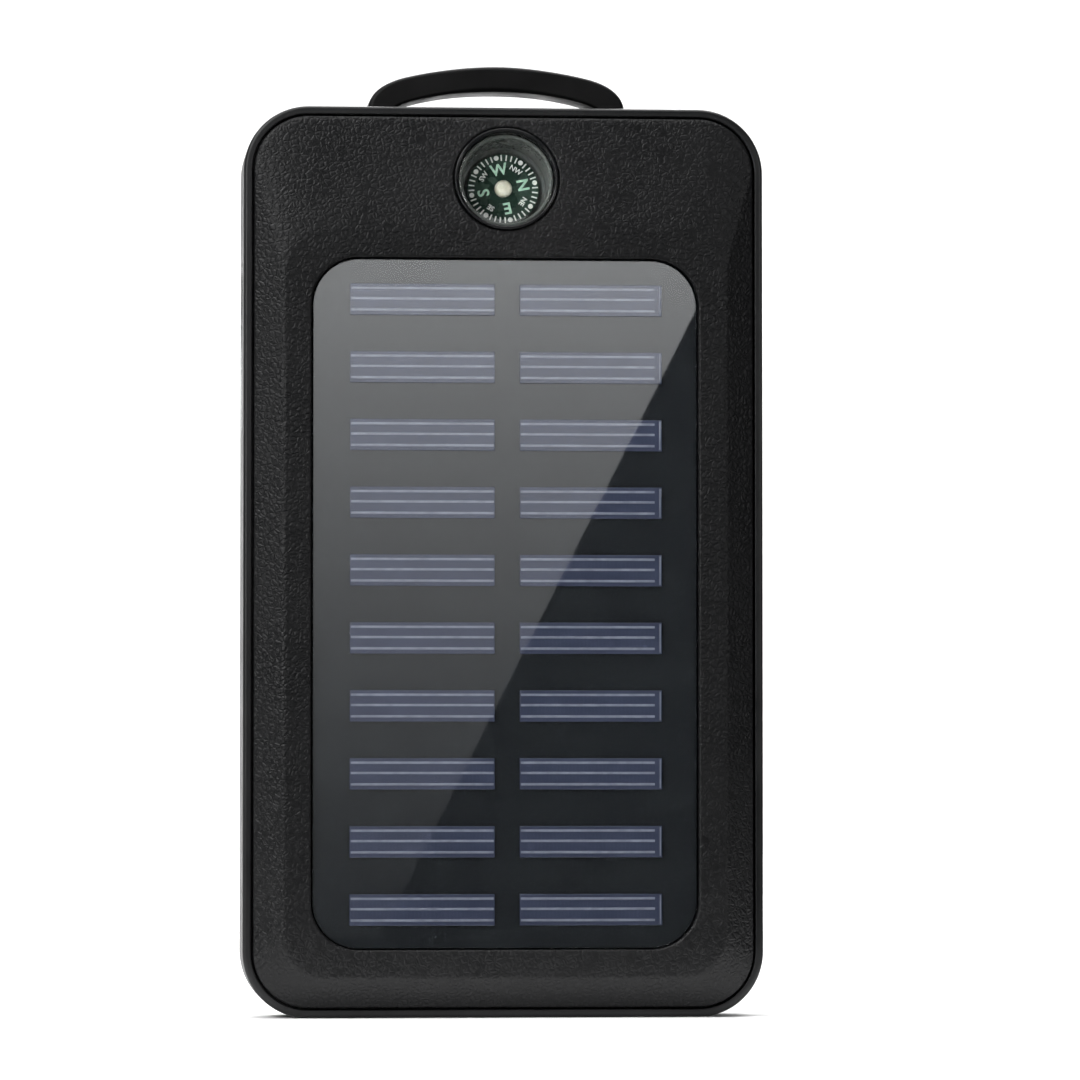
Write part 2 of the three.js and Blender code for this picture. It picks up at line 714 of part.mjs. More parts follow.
function floodCells(size, layer) {
  const { columns, rows } = FLOOD_CHIPS;
  const stepX = (2 * FLOOD.halfWidth) / columns;
  const stepZ = (FLOOD.top - FLOOD.bottom) / rows;
  return Array.from({ length: columns * rows }, (_, index) => {
    const x = -FLOOD.halfWidth + stepX * ((index % columns) + 0.5);
    const z = FLOOD.bottom + stepZ * (Math.floor(index / columns) + 0.5);
    return box([x - size / 2, x + size / 2], layer, [z - size / 2, z + size / 2]);
  });
}

function floodLens() {
  return join(
    prismY(floodShape(0), [FLOOD_LAYERS.flange[1] - 0.2, FLOOD_LAYERS.lens]),
    prismY(floodShape(FLOOD.flange), FLOOD_LAYERS.flange),
  );
}

function floodReflector() {
  const [front, back] = FLOOD_LAYERS.reflector;
  return cut(
    prismY(floodShape(FLOOD.flange), [front, back]),
    ...floodCells(FLOOD_CHIPS.opening, [front - 1, back + 1]),
  );
}

function floodLedBoard() {
  const plate = prismY(floodShape(FLOOD.flange), FLOOD_LAYERS.board);
  const chips = floodCells(FLOOD_CHIPS.size, [FLOOD_LAYERS.board[1] - 0.1, FLOOD_LAYERS.chip]);
  return join(plate, ...chips);
}

// ---------------------------------------------------------------- assembly

add("front_cover", "coverPlastic", frontCover());
add("rear_shell", "shellPlastic", rearShell());
add("perimeter_seal", "rubber", perimeterSeal());
SCREW_SPOTS.forEach(([x, z], index) => add(`rear_screw_${index + 1}`, "steel", rearScrew(x, z)));

add("carry_strap", "rubber", carryStrap());
strapPinSpots().forEach((x, index) => add(`strap_pin_${["left", "right"][index]}`, "steel", strapPin(x)));

add("panel_cover", "clear", panelPlate(0, PANEL_LAYERS.cover));
add("cell_string_left", "silicon", cellString(CELL_COLUMNS.left));
add("cell_string_right", "silicon", cellString(CELL_COLUMNS.right));
add("panel_board", "maskBlack", panelPlate(0, PANEL_LAYERS.board));
add("panel_tape", "tape", panelTape());
add("panel_lead_positive", "redWire", panelLead(1));
add("panel_lead_negative", "blackWire", panelLead(-1));

const COMPASS_FINISHES = {
  compass_bezel: "blackPart",
  compass_lens: "clear",
  compass_cup: "blackPart",
  compass_pivot: "brass",
  compass_card: "blackPart",
  compass_magnet: "ferrite",
  compass_cap: "ivory",
};
for (const [name, geometry] of Object.entries(compassPieces()))
  add(name, COMPASS_FINISHES[name], geometry, compass);

add("main_board", "maskGreen", mainBoard());
for (const [name, z] of Object.entries(USB_A_HEIGHTS)) {
  add(`usb_a_shell_${name}`, "tin", portShell(USB_A, 0.6, z));
  add(`usb_a_tongue_${name}`, "whitePart", usbATongue(z));
}
add("usb_c_shell", "tin", portShell(USB_C, 1.6, USB_C.z));
add("usb_c_tongue", "blackPart", usbCTongue());
add("power_inductor", "ferrite", powerInductor());
add("charge_chip", "blackPart", box([-14, -9], onBoardBack(1), [98, 103]));
add("boost_chip", "blackPart", box([-4, 0], onBoardBack(1), [90, 94]));
add("filter_capacitor", "tin", rodY(2, 14, 94, onBoardBack(4)));
add("tactile_switch", "blackPart", tactileSwitch());
add("switch_plunger", "whitePart", rodX(0.8, SIDE_Y, BUTTON.z, [-34.2, -32.4]));
add("power_button", "blackPart", powerButton());
for (let index = 0; index < INDICATORS.count; index += 1)
  add(`indicator_led_${index + 1}`, "ledResin", indicatorLed(index));
add("indicator_light_pipe", "clear", indicatorLightPipe());

add("battery_cell_front", "pouch", batteryCell(BATTERY_LAYERS.front));
add("battery_foam_pad", "tape", batteryCell(BATTERY_LAYERS.foam));
add("battery_cell_rear", "pouch", batteryCell(BATTERY_LAYERS.rear));
add("protection_board", "maskGreen", box([-20, 20], [-1.5, 2.5], [BATTERY.top + 0.4, BATTERY.top + 1.2]));
add("battery_lead_positive", "redWire", batteryLead(8));
add("battery_lead_negative", "blackWire", batteryLead(-8));

add("port_cover", "rubber", portCover());
add("port_cover_anchor", "rubber", portCoverAnchor());

add("flood_lens", "clear", floodLens());
add("flood_reflector", "whitePart", floodReflector());
add("flood_led_board", "whitePart", floodLedBoard());

export default charger;
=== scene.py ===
"""The looks of a pocket solar phone charger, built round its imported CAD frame.

Shapes are worked out in millimetres, in the frame's own axes, and become metres in mesh_object().
"""
import json
from math import cos, pi, radians, sin

import bmesh
import bpy
from mathutils import Matrix, Vector


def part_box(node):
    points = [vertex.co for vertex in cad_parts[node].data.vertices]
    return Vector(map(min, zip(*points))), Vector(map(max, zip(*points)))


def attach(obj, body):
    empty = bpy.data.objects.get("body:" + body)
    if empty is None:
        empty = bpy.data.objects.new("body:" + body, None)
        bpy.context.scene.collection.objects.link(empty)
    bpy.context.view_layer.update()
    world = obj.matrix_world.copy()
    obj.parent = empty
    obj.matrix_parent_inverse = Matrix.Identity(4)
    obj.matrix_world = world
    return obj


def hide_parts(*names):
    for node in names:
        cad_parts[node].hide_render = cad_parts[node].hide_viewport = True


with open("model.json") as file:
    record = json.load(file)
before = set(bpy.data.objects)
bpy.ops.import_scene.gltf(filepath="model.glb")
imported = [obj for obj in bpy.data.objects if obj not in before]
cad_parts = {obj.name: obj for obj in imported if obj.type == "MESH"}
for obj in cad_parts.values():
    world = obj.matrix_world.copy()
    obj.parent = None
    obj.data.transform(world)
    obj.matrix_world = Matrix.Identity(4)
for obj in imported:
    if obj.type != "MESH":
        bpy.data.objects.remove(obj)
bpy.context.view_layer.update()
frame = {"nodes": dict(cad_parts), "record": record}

MM = 0.001


def extent(node):
    """A CAD node's lowest and highest corners, in millimetres."""
    low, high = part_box(node)
    return Vector(low) / MM, Vector(high) / MM


# ---------------------------------------------------------------- driving dimensions

SHELL_LOW, SHELL_HIGH = extent("rear_shell")
COVER_LOW, COVER_HIGH = extent("front_cover")
PANEL_LOW, PANEL_HIGH = extent("panel_cover")
BOARD_LOW, BOARD_HIGH = extent("panel_board")

HALF_WIDTH = SHELL_HIGH.x
HEIGHT = SHELL_HIGH.z
BACK = SHELL_HIGH.y
RIM_FRONT = SHELL_LOW.y
CORNER = 9.4  # radius of the case's four corners
BACK_ROUND = 2.6
RIM = {"thickness": 1.2, "outer_round": 0.55, "inner_round": 0.2}
WALL = {"side": 2.4, "back": 2.0, "ledge": -2.8}

ROOF_INSET = HALF_WIDTH - COVER_HIGH.x
ROOF = {"edge": -6.6, "plateau": COVER_LOW.y, "skirt": -3.9, "thickness": 1.4}
PLATEAU = {"half_width": 31.8, "bottom": 5.7, "top": 113.2, "corner": 6.5}
PANEL_CORNER = 6.7
POCKET = {"gap": 0.2, "floor": -6.6, "back": -5.6, "wall": 1.2, "lip": 0.4}

SCREWS = {f"rear_screw_{n}": extent(f"rear_screw_{n}") for n in range(1, 7)}
SCREW = {"head": 2.0, "front": 7.4, "back": 8.7, "shank": 0.95, "tip": -3.2}
STRAP_LOW, STRAP_HIGH = extent("carry_strap")
STRAP_PINS = [extent(f"strap_pin_{side}") for side in ("left", "right")]

SIDE_Y = 1.4  # the sockets, the button and the light pipe are centred here
CORNER_STEPS = 24
SMALL_STEPS = 8
EDGE_STEPS = 4
TURN_STEPS = 72
LEAST_CORNER = 0.02


# ---------------------------------------------------------------- outlines and skins


def rounded(a, b, radius, steps=SMALL_STEPS):
    """A rectangle with round corners, anticlockwise; a and b are its (low, high) spans."""
    (a0, a1), (b0, b1) = a, b
    centres = [(a1 - radius, b0 + radius), (a1 - radius, b1 - radius)]
    centres += [(a0 + radius, b1 - radius), (a0 + radius, b0 + radius)]
    points = []
    for quarter, (ca, cb) in enumerate(centres):
        for step in range(steps + 1):
            angle = (quarter - 1 + step / steps) * pi / 2
            points.append((ca + radius * cos(angle), cb + radius * sin(angle)))
    return points


def rectangle(a, b, radius, steps=SMALL_STEPS):
    """The same outline as a function of an offset outwards."""

    def outline(offset):
        spans = [(low - offset, high + offset) for low, high in (a, b)]
        return rounded(*spans, max(radius + offset, LEAST_CORNER), steps)

    return outline


def circle(ca, cb, radius, steps=TURN_STEPS // 2):
    """A circle as a function of an offset outwards."""

    def outline(offset):
        turns = (2 * pi * step / steps for step in range(steps))
        return [(ca + (radius + offset) * cos(turn), cb + (radius + offset) * sin(turn)) for turn in turns]

    return outline


def about(middle, reach):
    """The span that goes as far to both sides of its middle."""
    return middle - reach, middle + reach


def quarter(steps=EDGE_STEPS):
    """Angles from nothing to a right angle."""
    return [step / steps * pi / 2 for step in range(steps + 1)]


def quarter_round(radius, steps=EDGE_STEPS):
    """The (across, along) steps of a rounded edge, from (radius, 0) to (0, radius)."""
    return [(radius * (1 - sin(turn)), radius * (1 - cos(turn))) for turn in quarter(steps)]


def facing_x(points, x):
    return [(x, a, b) for a, b in points]


def facing_y(points, y):
    return [(a, y, b) for a, b in points]


def facing_z(points, z):
    return [(a, b, z) for a, b in points]


def case_outline(inset):
    """The case's own outline, moved inwards."""
    across = (inset - HALF_WIDTH, HALF_WIDTH - inset)
    return rounded(across, (inset, HEIGHT - inset), CORNER - inset, CORNER_STEPS)


def blend(a, b, share):
    """Points part of the way from one ring to another."""
    return [tuple(Vector(p).lerp(Vector(q), share)) for p, q in zip(a, b)]


def bezier(points, steps):
    """Points along a quadratic or cubic curve, both ends included."""
    curve = []
    for step in range(steps + 1):
        row = [Vector(p) for p in points]
        while len(row) > 1:
            row = [p.lerp(q, step / steps) for p, q in zip(row, row[1:])]
        curve.append(row[0])
    return curve


def softened(path, radius, steps=EDGE_STEPS):
    """A profile whose inner corners are each replaced by a small curve."""
    soft = [Vector(path[0])]
    for before, corner, after in zip(path, path[1:], path[2:]):
        before, corner, after = Vector(before), Vector(corner), Vector(after)
        reach = min(radius, (before - corner).length / 2, (after - corner).length / 2)
        start = corner + (before - corner).normalized() * reach
        end = corner + (after - corner).normalized() * reach
        soft += bezier([start, corner, end], steps)
    return [tuple(p) for p in soft + [Vector(path[-1])]]


def skin(rings, closed=False):
    """Points and faces over rings of equal length; open ends are capped."""
    count, total = len(rings[0]), len(rings)
    points = [tuple(p) for ring in rings for p in ring]
    faces = []
    for level in range(total if closed else total - 1):
        here, there = level * count, (level + 1) % total * count
        for i in range(count):
            j = (i + 1) % count
            faces.append((here + i, here + j, there + j, there + i))
    if not closed:
        faces.append(tuple(range(count)))
        faces.append(tuple(range((total - 1) * count, total * count)))
    return points, faces


def turned(profile, steps=TURN_STEPS):
    """Points and faces turned about local Y from (radius, depth) points: axis to axis, or a closed loop."""
    closed = profile[0] == profile[-1]
    points, faces, rows = [], [], []
    for radius, depth in profile[:-1] if closed else profile:
        if radius < 1e-6:
            rows.append([len(points)] * steps)
            points.append((0, depth, 0))
            continue
        rows.append([len(points) + i for i in range(steps)])
        turns = (2 * pi * i / steps for i in range(steps))
        points += [(radius * cos(turn), depth, radius * sin(turn)) for turn in turns]
    for a, b in zip(rows, rows[1:] + rows[:1] if closed else rows[1:]):
        for i in range(steps):
            j = (i + 1) % steps
            corners = list(dict.fromkeys((a[i], a[j], b[j], b[i])))
            if len(corners) > 2:
                faces.append(tuple(corners))
    return points, faces


def plug(outline, facing, surface, end, lip):
    """A cutter from just outside surface in to end, which leaves a rounded lip at the surface."""
    inward = 1 if end > surface else -1
    rings = [facing(outline(lip), surface - inward)]
    rings += [facing(outline(across), surface + inward * along) for across, along in quarter_round(lip)]
    rings.append(facing(outline(0), end))
    return skin(rings)


def pad(outline, facing, low, high, edge):
    """A solid from low to high whose two rims are rounded."""
    rims = quarter_round(edge)
    rings = [facing(outline(-across), low + along) for across, along in rims]
    rings += [facing(outline(-across), high - along) for across, along in reversed(rims)]
    return skin(rings)


def prism(facing, points, levels):
    """One outline carried straight from level to level."""
    return skin([facing(points, level) for level in levels])


def block(x, y, z, edge=0.08):
    """A small box with rounded edges, from its three spans."""
    thin = min(x[1] - x[0], y[1] - y[0], z[1] - z[0])
    edge = min(edge, thin * 0.4)
    return pad(rectangle(x, z, edge * 1.2, 3), facing_y, y[0], y[1], edge)


def rod(ends, radius, steps=20):
    """A rod along Y at (x, z): ends is (x, z, y0, y1)."""
    x, z, *levels = ends
    return prism(facing_y, circle(x, z, radius, steps)(0), levels)


def cone(x, z, steps, sections):
    """A round body along Y at (x, z) from its (radius, y) sections."""
    return skin([facing_y(circle(x, z, radius, steps)(0), y) for radius, y in sections])


def joined(*parts):
    """Several skins as one list of points and faces."""
    points, faces = [], []
    for more_points, more_faces in parts:
        base = len(points)
        points += more_points
        faces += [tuple(base + i for i in face) for face in more_faces]
    return points, faces


def moved(part, matrix):
    points, faces = part
    return [tuple(matrix @ Vector(p)) for p in points], faces


# ---------------------------------------------------------------- objects

SOFT_ANGLE = 34  # edges sharper than this stay sharp


def mesh_object(name, part):
    points, faces = part
    mesh = bpy.data.meshes.new(name)
    mesh.from_pydata([Vector(p) * MM for p in points], [], faces)
    body = bmesh.new()
    body.from_mesh(mesh)
    bmesh.ops.recalc_face_normals(body, faces=body.faces)
    body.to_mesh(mesh)
    body.free()
    obj = bpy.data.objects.new(name, mesh)
    bpy.context.scene.collection.objects.link(obj)
    return obj


def applied(obj):
    """Replaces obj's mesh by what its modifiers make of it."""
    mesh = bpy.data.meshes.new_from_object(obj.evaluated_get(bpy.context.evaluated_depsgraph_get()))
    mesh.name = obj.name
    obj.modifiers.clear()
    obj.data = mesh


def boolean(obj, part, operation):
    tool = mesh_object("tool", part)
    modifier = obj.modifiers.new(operation, "BOOLEAN")
    modifier.operation = operation
    modifier.solver = "EXACT"
    modifier.object = tool
    applied(obj)
    bpy.data.objects.remove(tool)
    if not obj.data.vertices:
        raise RuntimeError(f"{obj.name} came to nothing in a boolean")


def smooth(obj):
    """Smooth shading with crisp edges, and flat faces kept flat by weighted normals."""
    obj.data.shade_smooth()
    obj.data.set_sharp_from_angle(angle=radians(SOFT_ANGLE))
    modifier = obj.modifiers.new("normals", "WEIGHTED_NORMAL")
    modifier.keep_sharp = True
    applied(obj)


def piece(name, part, material, slot, body="case", replaces=(), adds=(), cuts=()):
    obj = mesh_object(name, part)
    for extra in adds:
        boolean(obj, extra, "UNION")
    for hole in cuts:
        boolean(obj, hole, "DIFFERENCE")
    smooth(obj)
    obj.data.materials.clear()
    obj.data.materials.append(material)
    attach(obj, body)
    if replaces:
        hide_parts(*replaces)
    return obj


def dress(material, *nodes):
    """A carried-over CAD node takes a finished material in its own slots."""
    for node in nodes:
        obj = frame["nodes"][node]
        if not obj.material_slots:
            obj.data.materials.append(material)
        for place in obj.material_slots:
            place.material = material


# ---------------------------------------------------------------- materials


class Look:
    """A Principled material, its plain values, and the patterns that feed it."""

    def __init__(self, name, colour, roughness, **plain):
        self.material = bpy.data.materials.new(name)
        self.material.use_nodes = True
        self.tree = self.material.node_tree
        self.shader = self.tree.nodes["Principled BSDF"]
        self.shader.inputs["Base Color"].default_value = (*colour, 1)
        self.shader.inputs["Roughness"].default_value = roughness
        for socket, value in plain.items():
            self.shader.inputs[socket.replace("_", " ")].default_value = value
        self.place = self.node("ShaderNodeTexCoord").outputs["Object"]

    def node(self, kind, inputs=None, **settings):
        made = self.tree.nodes.new(kind)
        for key, value in settings.items():
            setattr(made, key, value)
        for socket, value in (inputs or {}).items():
            if hasattr(value, "is_linked"):
                self.tree.links.new(value, made.inputs[socket])
            else:
                made.inputs[socket].default_value = value
        return made

    def stretched(self, x, y, z):
        inputs = {"Vector": self.place, "Scale": (x, y, z)}
        return self.node("ShaderNodeMapping", inputs).outputs["Vector"]

    def wobbled(self, size, amount):
        """Coordinates shaken by noise, so that a regular pattern turns irregular."""
        inputs = {"Vector": self.place, "Scale": 1 / (size * MM), "Detail": 2.0}
        shake = self.node("ShaderNodeTexNoise", inputs).outputs["Color"]
        inputs = {0: shake, 1: (amount * MM,) * 3, 2: self.place}
        return self.node("ShaderNodeVectorMath", inputs, operation="MULTIPLY_ADD").outputs["Vector"]

    def noise(self, size, detail=3.0, place=None):
        inputs = {"Vector": place or self.place, "Scale": 1 / (size * MM), "Detail": detail}
        return self.node("ShaderNodeTexNoise", inputs).outputs["Fac"]

    def cells(self, size, feature="DISTANCE_TO_EDGE", place=None):
        inputs = {"Vector": place or self.place, "Scale": 1 / (size * MM)}
        return self.node("ShaderNodeTexVoronoi", inputs, feature=feature).outputs["Distance"]

    def lines(self, pitch, axis):
        inputs = {"Vector": self.place, "Scale": 2 * pi / (20 * pitch * MM), "Distortion": 0.0}
        return self.node("ShaderNodeTexWave", inputs, bands_direction=axis).outputs["Fac"]

    def level(self, factor, low, high, start=0.3, end=0.7):
        """A pattern as a number from low to high."""
        inputs = {"Value": factor, "From Min": start, "From Max": end, "To Min": low, "To Max": high}
        return self.node("ShaderNodeMapRange", inputs, interpolation_type="SMOOTHSTEP").outputs["Result"]

    def number(self, operation, *values):
        inputs = dict(enumerate(values))
        return self.node("ShaderNodeMath", inputs, operation=operation).outputs["Value"]

    def product(self, a, b):
        return self.number("MULTIPLY", a, b)

    def total(self, a, b):
        return self.number("ADD", a, b)

    def mixture(self, a, share, b, other):
        return self.total(self.product(a, share), self.product(b, other))

    def colours(self, factor, low, high, start=0.3, end=0.7):
        """The base colour runs from low to high with a pattern."""
        inputs = {0: self.level(factor, 0.0, 1.0, start, end), 6: (*low, 1), 7: (*high, 1)}
        mix = self.node("ShaderNodeMix", inputs, data_type="RGBA")
        self.tree.links.new(mix.outputs[2], self.shader.inputs["Base Color"])
        return self

    def roughness(self, factor, low, high, start=0.3, end=0.7):
        self.tree.links.new(self.level(factor, low, high, start, end), self.shader.inputs["Roughness"])
        return self

    def relief(self, height, depth):
        """A bump depth millimetres high."""
        bump = self.node("ShaderNodeBump", {"Height": height, "Distance": depth * MM, "Strength": 1.0})
        self.tree.links.new(bump.outputs["Normal"], self.shader.inputs["Normal"])
        return self

    def surface(self, shader):
        """Another shader takes the Principled one's place."""
        self.tree.nodes.remove(self.shader)
        self.tree.links.new(shader, self.tree.nodes["Material Output"].inputs["Surface"])
        return self.material


def pebbled_plastic(name, colour, lit_pebbles_and_tone, depth):
    """Moulded plastic with a leather grain: irregular pebbles between fine creases, with painted shade in the
    creases and painted light on the pebble tops.
    """
    look = Look(name, colour, 0.5, Specular_IOR_Level=0.22)
    shaken = look.wobbled(1.1, 0.9)
    pebbles = look.level(look.cells(0.78, place=shaken), 0.0, 1.0, 0.0, 0.32)
    fine = look.noise(0.32, 2.0)
    broad = look.noise(9.0)
    height = look.total(pebbles, look.product(fine, 0.55))
    # painted shade and light: the creases are darker and the pebble tops lighter, over a random broad tone
    look.colours(look.mixture(pebbles, 0.6, broad, 0.4), colour, lit_pebbles_and_tone, 0.2, 0.9)
    look.roughness(look.mixture(broad, 0.5, fine, 0.5), 0.36, 0.54)
    return look.relief(height, depth).material


def satin_plastic(name, colour, roughness=0.36, grain=0.25, depth=0.006):
    """Smooth moulded plastic: a faint spark-eroded grain and a little unevenness."""
    look = Look(name, colour, roughness, Specular_IOR_Level=0.28)
    broad = look.noise(14.0)
    fine = look.noise(grain, 2.0)
    brighter = tuple(min(1.0, channel * 1.35 + 0.002) for channel in colour)
    look.colours(broad, colour, brighter)
    look.roughness(look.mixture(broad, 0.6, fine, 0.4), roughness - 0.05, roughness + 0.1)
    return look.relief(fine, depth).material


def rubber(name, colour, roughness=0.5):
    look = Look(name, colour, roughness, Sheen_Weight=0.02, Sheen_Roughness=0.4, Specular_IOR_Level=0.12)
    broad = look.noise(7.0)
    fine = look.noise(0.18, 3.0)
    look.colours(broad, colour, tuple(channel * 1.5 + 0.001 for channel in colour))
    look.roughness(broad, roughness - 0.08, roughness + 0.1)
    return look.relief(fine, 0.01).material


def metal(name, colour, roughness, brush=(1, 1, 1), depth=0.002):
    look = Look(name, colour, roughness, Metallic=1.0)
    streaks = look.noise(0.6, 4.0, look.stretched(*brush))
    broad = look.noise(3.0)
    look.colours(broad, tuple(channel * 0.8 for channel in colour), colour)
    look.roughness(streaks, roughness - 0.08, roughness + 0.12)
    return look.relief(streaks, depth).material


def painted(name, low, high, roughness=0.45, size=0.5, depth=0.004, **plain):
    """Ink, resin or lacquer, slightly uneven."""
    look = Look(name, low, roughness, **plain)
    spots = look.noise(size, 3.0)
    look.colours(spots, low, high)
    look.roughness(spots, roughness - 0.06, roughness + 0.08)
    return look.relief(spots, depth).material


def circuit(name, low, high):
    """Solder mask over copper tracks: fine lines between broad planes."""
    look = Look(name, low, 0.35, Coat_Weight=0.3, Coat_Roughness=0.2)
    inputs = {"Vector": look.stretched(0.6, 0.6, 1), "Scale": 260.0, "Mortar Size": 0.035}
    tracks = look.node("ShaderNodeTexBrick", inputs).outputs["Fac"]
    planes = look.noise(5.0, 1.0)
    both = look.mixture(tracks, 0.6, planes, 0.5)
    look.colours(both, low, high, 0.2, 0.8)
    look.roughness(planes, 0.28, 0.45)
    return look.relief(both, 0.012).material


def silicon():
    """Polycrystalline strips with printed fingers a fraction of a millimetre apart."""
    low, high = (0.029, 0.034, 0.0585), (0.038, 0.045, 0.0748)
    look = Look("silicon", low, 0.4, **UNDER_RESIN)
    grains = look.noise(2.2, 2.0, look.stretched(0.35, 1, 1))
    fingers = look.level(look.lines(0.55, "X"), 0.0, 1.0, 0.75, 0.98)
    look.colours(look.mixture(grains, 0.8, fingers, 0.1), low, high, 0.2, 0.8)
    look.roughness(grains, 0.38, 0.46)
    return look.relief(fingers, 0.0012).material


def clear_resin(name, tint, gloss=0.02, index=1.5):
    """Clear plastic seen straight through, with a mirror film that grows towards grazing on both faces."""
    look = Look(name, tint, gloss)
    facing = look.node("ShaderNodeLayerWeight", {"Blend": 0.5}).outputs["Facing"]
    straight_on = ((index - 1) / (index + 1)) ** 2
    share = look.number("MULTIPLY_ADD", look.number("POWER", facing, 5.0), 1 - straight_on, straight_on)
    ripple = look.node("ShaderNodeBump", {"Height": look.noise(18, 2.0), "Distance": 0.004 * MM})
    film = look.node("ShaderNodeBsdfGlossy", {"Roughness": gloss, "Normal": ripple.outputs["Normal"]})
    through = look.node("ShaderNodeBsdfTransparent", {"Color": (*tint, 1)})
    inputs = {0: share, 1: through.outputs["BSDF"], 2: film.outputs["BSDF"]}
    return look.surface(look.node("ShaderNodeMixShader", inputs).outputs["Shader"])


# the second colour is painted light on the pebble tops; the first is painted shade in the creases and the
# base tone
COVER_PLASTIC = pebbled_plastic("cover_plastic", (0.0021, 0.0022, 0.0026), (0.0044, 0.0045, 0.0051), 0.056)
SHELL_PLASTIC = satin_plastic("shell_plastic", (0.0038, 0.004, 0.0044))
STRAP_RUBBER = rubber("strap_rubber", (0.0014, 0.0014, 0.0015), 0.46)
SEAL_RUBBER = rubber("seal_rubber", (0.012, 0.012, 0.012), 0.6)
FLAP_RUBBER = rubber("flap_rubber", (0.0075, 0.0077, 0.008), 0.52)
GLOSS_BLACK = satin_plastic("gloss_black", (0.003, 0.0032, 0.0036), 0.2, 0.4, 0.002)

CUP_PLASTIC = satin_plastic("cup_plastic", (0.078, 0.083, 0.081), 0.24, 0.5, 0.003)
NICKEL = metal("nickel_steel", (0.52, 0.52, 0.53), 0.3)
DARK_STEEL = metal("dark_steel", (0.16, 0.16, 0.165), 0.36)
TIN = metal("tin_plate", (0.62, 0.63, 0.64), 0.28, (1, 1, 0.2))
GOLD = metal("gold_plate", (0.83, 0.58, 0.2), 0.25)
BRASS = metal("brass", (0.6, 0.42, 0.16), 0.3)
UNDER_RESIN = {"Coat_Weight": 1.0, "Coat_Roughness": 0.012, "Coat_IOR": 1.75, "Specular_IOR_Level": 0.03}
SOLDER_MASK = painted(
    "black_solder_mask", (0.0114, 0.0129, 0.0148), (0.014, 0.016, 0.0178), 0.5, 6.0, 0.006, **UNDER_RESIN
)
SILICON = silicon()
SILVER_PRINT = painted(
    "silver_print", (0.12, 0.13, 0.164), (0.16, 0.174, 0.214), 0.5, 1.6, 0.003, **UNDER_RESIN
)
PANEL_RESIN = clear_resin("panel_resin", (0.985, 0.99, 0.992), 0.02, 1.12)
LENS_RESIN = clear_resin("lens_resin", (0.97, 0.98, 0.97), 0.01)
FLOOD_RESIN = clear_resin("flood_resin", (0.93, 0.95, 0.96), 0.06)
DIAL_INK = painted("dial_ink", (0.015, 0.03, 0.023), (0.025, 0.056, 0.041), 0.3, 3.5, 0.004)
MARK_WHITE = painted("mark_white", (0.78, 0.79, 0.78), (0.92, 0.92, 0.9), 0.45)
MARK_GREEN = painted("mark_green", (0.42, 0.66, 0.52), (0.6, 0.84, 0.7), 0.45)
IVORY = painted("ivory", (0.74, 0.7, 0.57), (0.92, 0.89, 0.79), 0.28, 1.2, 0.004, Coat_Weight=0.4)
FERRITE = painted("ferrite", (0.03, 0.031, 0.034), (0.06, 0.061, 0.066), 0.7, 0.25, 0.02)
WHITE_PLASTIC = painted("white_plastic", (0.68, 0.68, 0.65), (0.78, 0.78, 0.75), 0.42, 2.0, 0.005)
BLACK_PLASTIC = painted("black_plastic", (0.008, 0.008, 0.009), (0.014, 0.014, 0.016), 0.4, 0.6, 0.006)
MASK_GREEN = circuit("green_solder_mask", (0.006, 0.045, 0.018), (0.03, 0.13, 0.05))
MASK_WHITE = circuit("white_solder_mask", (0.62, 0.62, 0.58), (0.75, 0.75, 0.72))
PHOSPHOR = painted("phosphor", (0.72, 0.5, 0.07), (0.85, 0.66, 0.14), 0.35, 0.4, 0.006)
LED_RESIN = painted("led_resin", (0.75, 0.7, 0.5), (0.85, 0.82, 0.66), 0.25, 0.3, 0.004)
TAPE = painted("tape", (0.018, 0.019, 0.02), (0.032, 0.033, 0.035), 0.75, 0.4, 0.02)
RED_WIRE = painted("red_wire", (0.33, 0.012, 0.01), (0.45, 0.022, 0.016), 0.42, 1.0, 0.006)
BLACK_WIRE = painted("black_wire", (0.008, 0.008, 0.009), (0.015, 0.015, 0.017), 0.42, 1.0, 0.006)
PIPE_RESIN = painted(
    "pipe_resin", (0.5, 0.53, 0.55), (0.6, 0.63, 0.65), 0.22, 1.5, 0.004, Transmission_Weight=0.35
)


def pouch_foil():
    """Laminated foil round a lithium cell: soft dents and a brushed grain."""
    look = Look("pouch_foil", (0.45, 0.46, 0.48), 0.38, Metallic=0.85)
    dents = look.noise(11.0, 2.0)
    brushed = look.noise(0.5, 3.0, look.stretched(0.1, 1, 1))
    look.colours(dents, (0.4, 0.41, 0.43), (0.55, 0.56, 0.58))
    look.roughness(brushed, 0.3, 0.46)
    return look.relief(look.total(dents, look.product(brushed, 0.03)), 0.25).material


def foam():
    """Open-cell foam: small round pores, darkened with painted shade."""
    look = Look("foam", (0.05, 0.052, 0.055), 0.9, Specular_IOR_Level=0.2)
    pores = look.level(look.cells(0.5, "F1"), 0.0, 1.0, 0.15, 0.55)
    # painted shade: the pores are darker than the foam round them
    look.colours(pores, (0.018, 0.019, 0.02), (0.075, 0.078, 0.082))
    look.roughness(pores, 0.82, 0.95)
    return look.relief(pores, 0.15).material


# ---------------------------------------------------------------- the case

LIP = {"port": 0.15, "button": 0.3, "window": 0.2, "screw": 0.25, "lens": 0.3, "strap": 0.35}


def roof_ring(share):
    """A ring on the front cover's slopes, from its edge at 0 to the plateau at 1."""
    edge = facing_y(case_outline(ROOF_INSET), ROOF["edge"])
    return blend(edge, plateau_ring(0), share)


def plateau_ring(inset, y=ROOF["plateau"]):
    side = PLATEAU["half_width"] - inset
    span = (PLATEAU["bottom"] + inset, PLATEAU["top"] - inset)
    return facing_y(rounded((-side, side), span, PLATEAU["corner"] - inset, CORNER_STEPS), y)


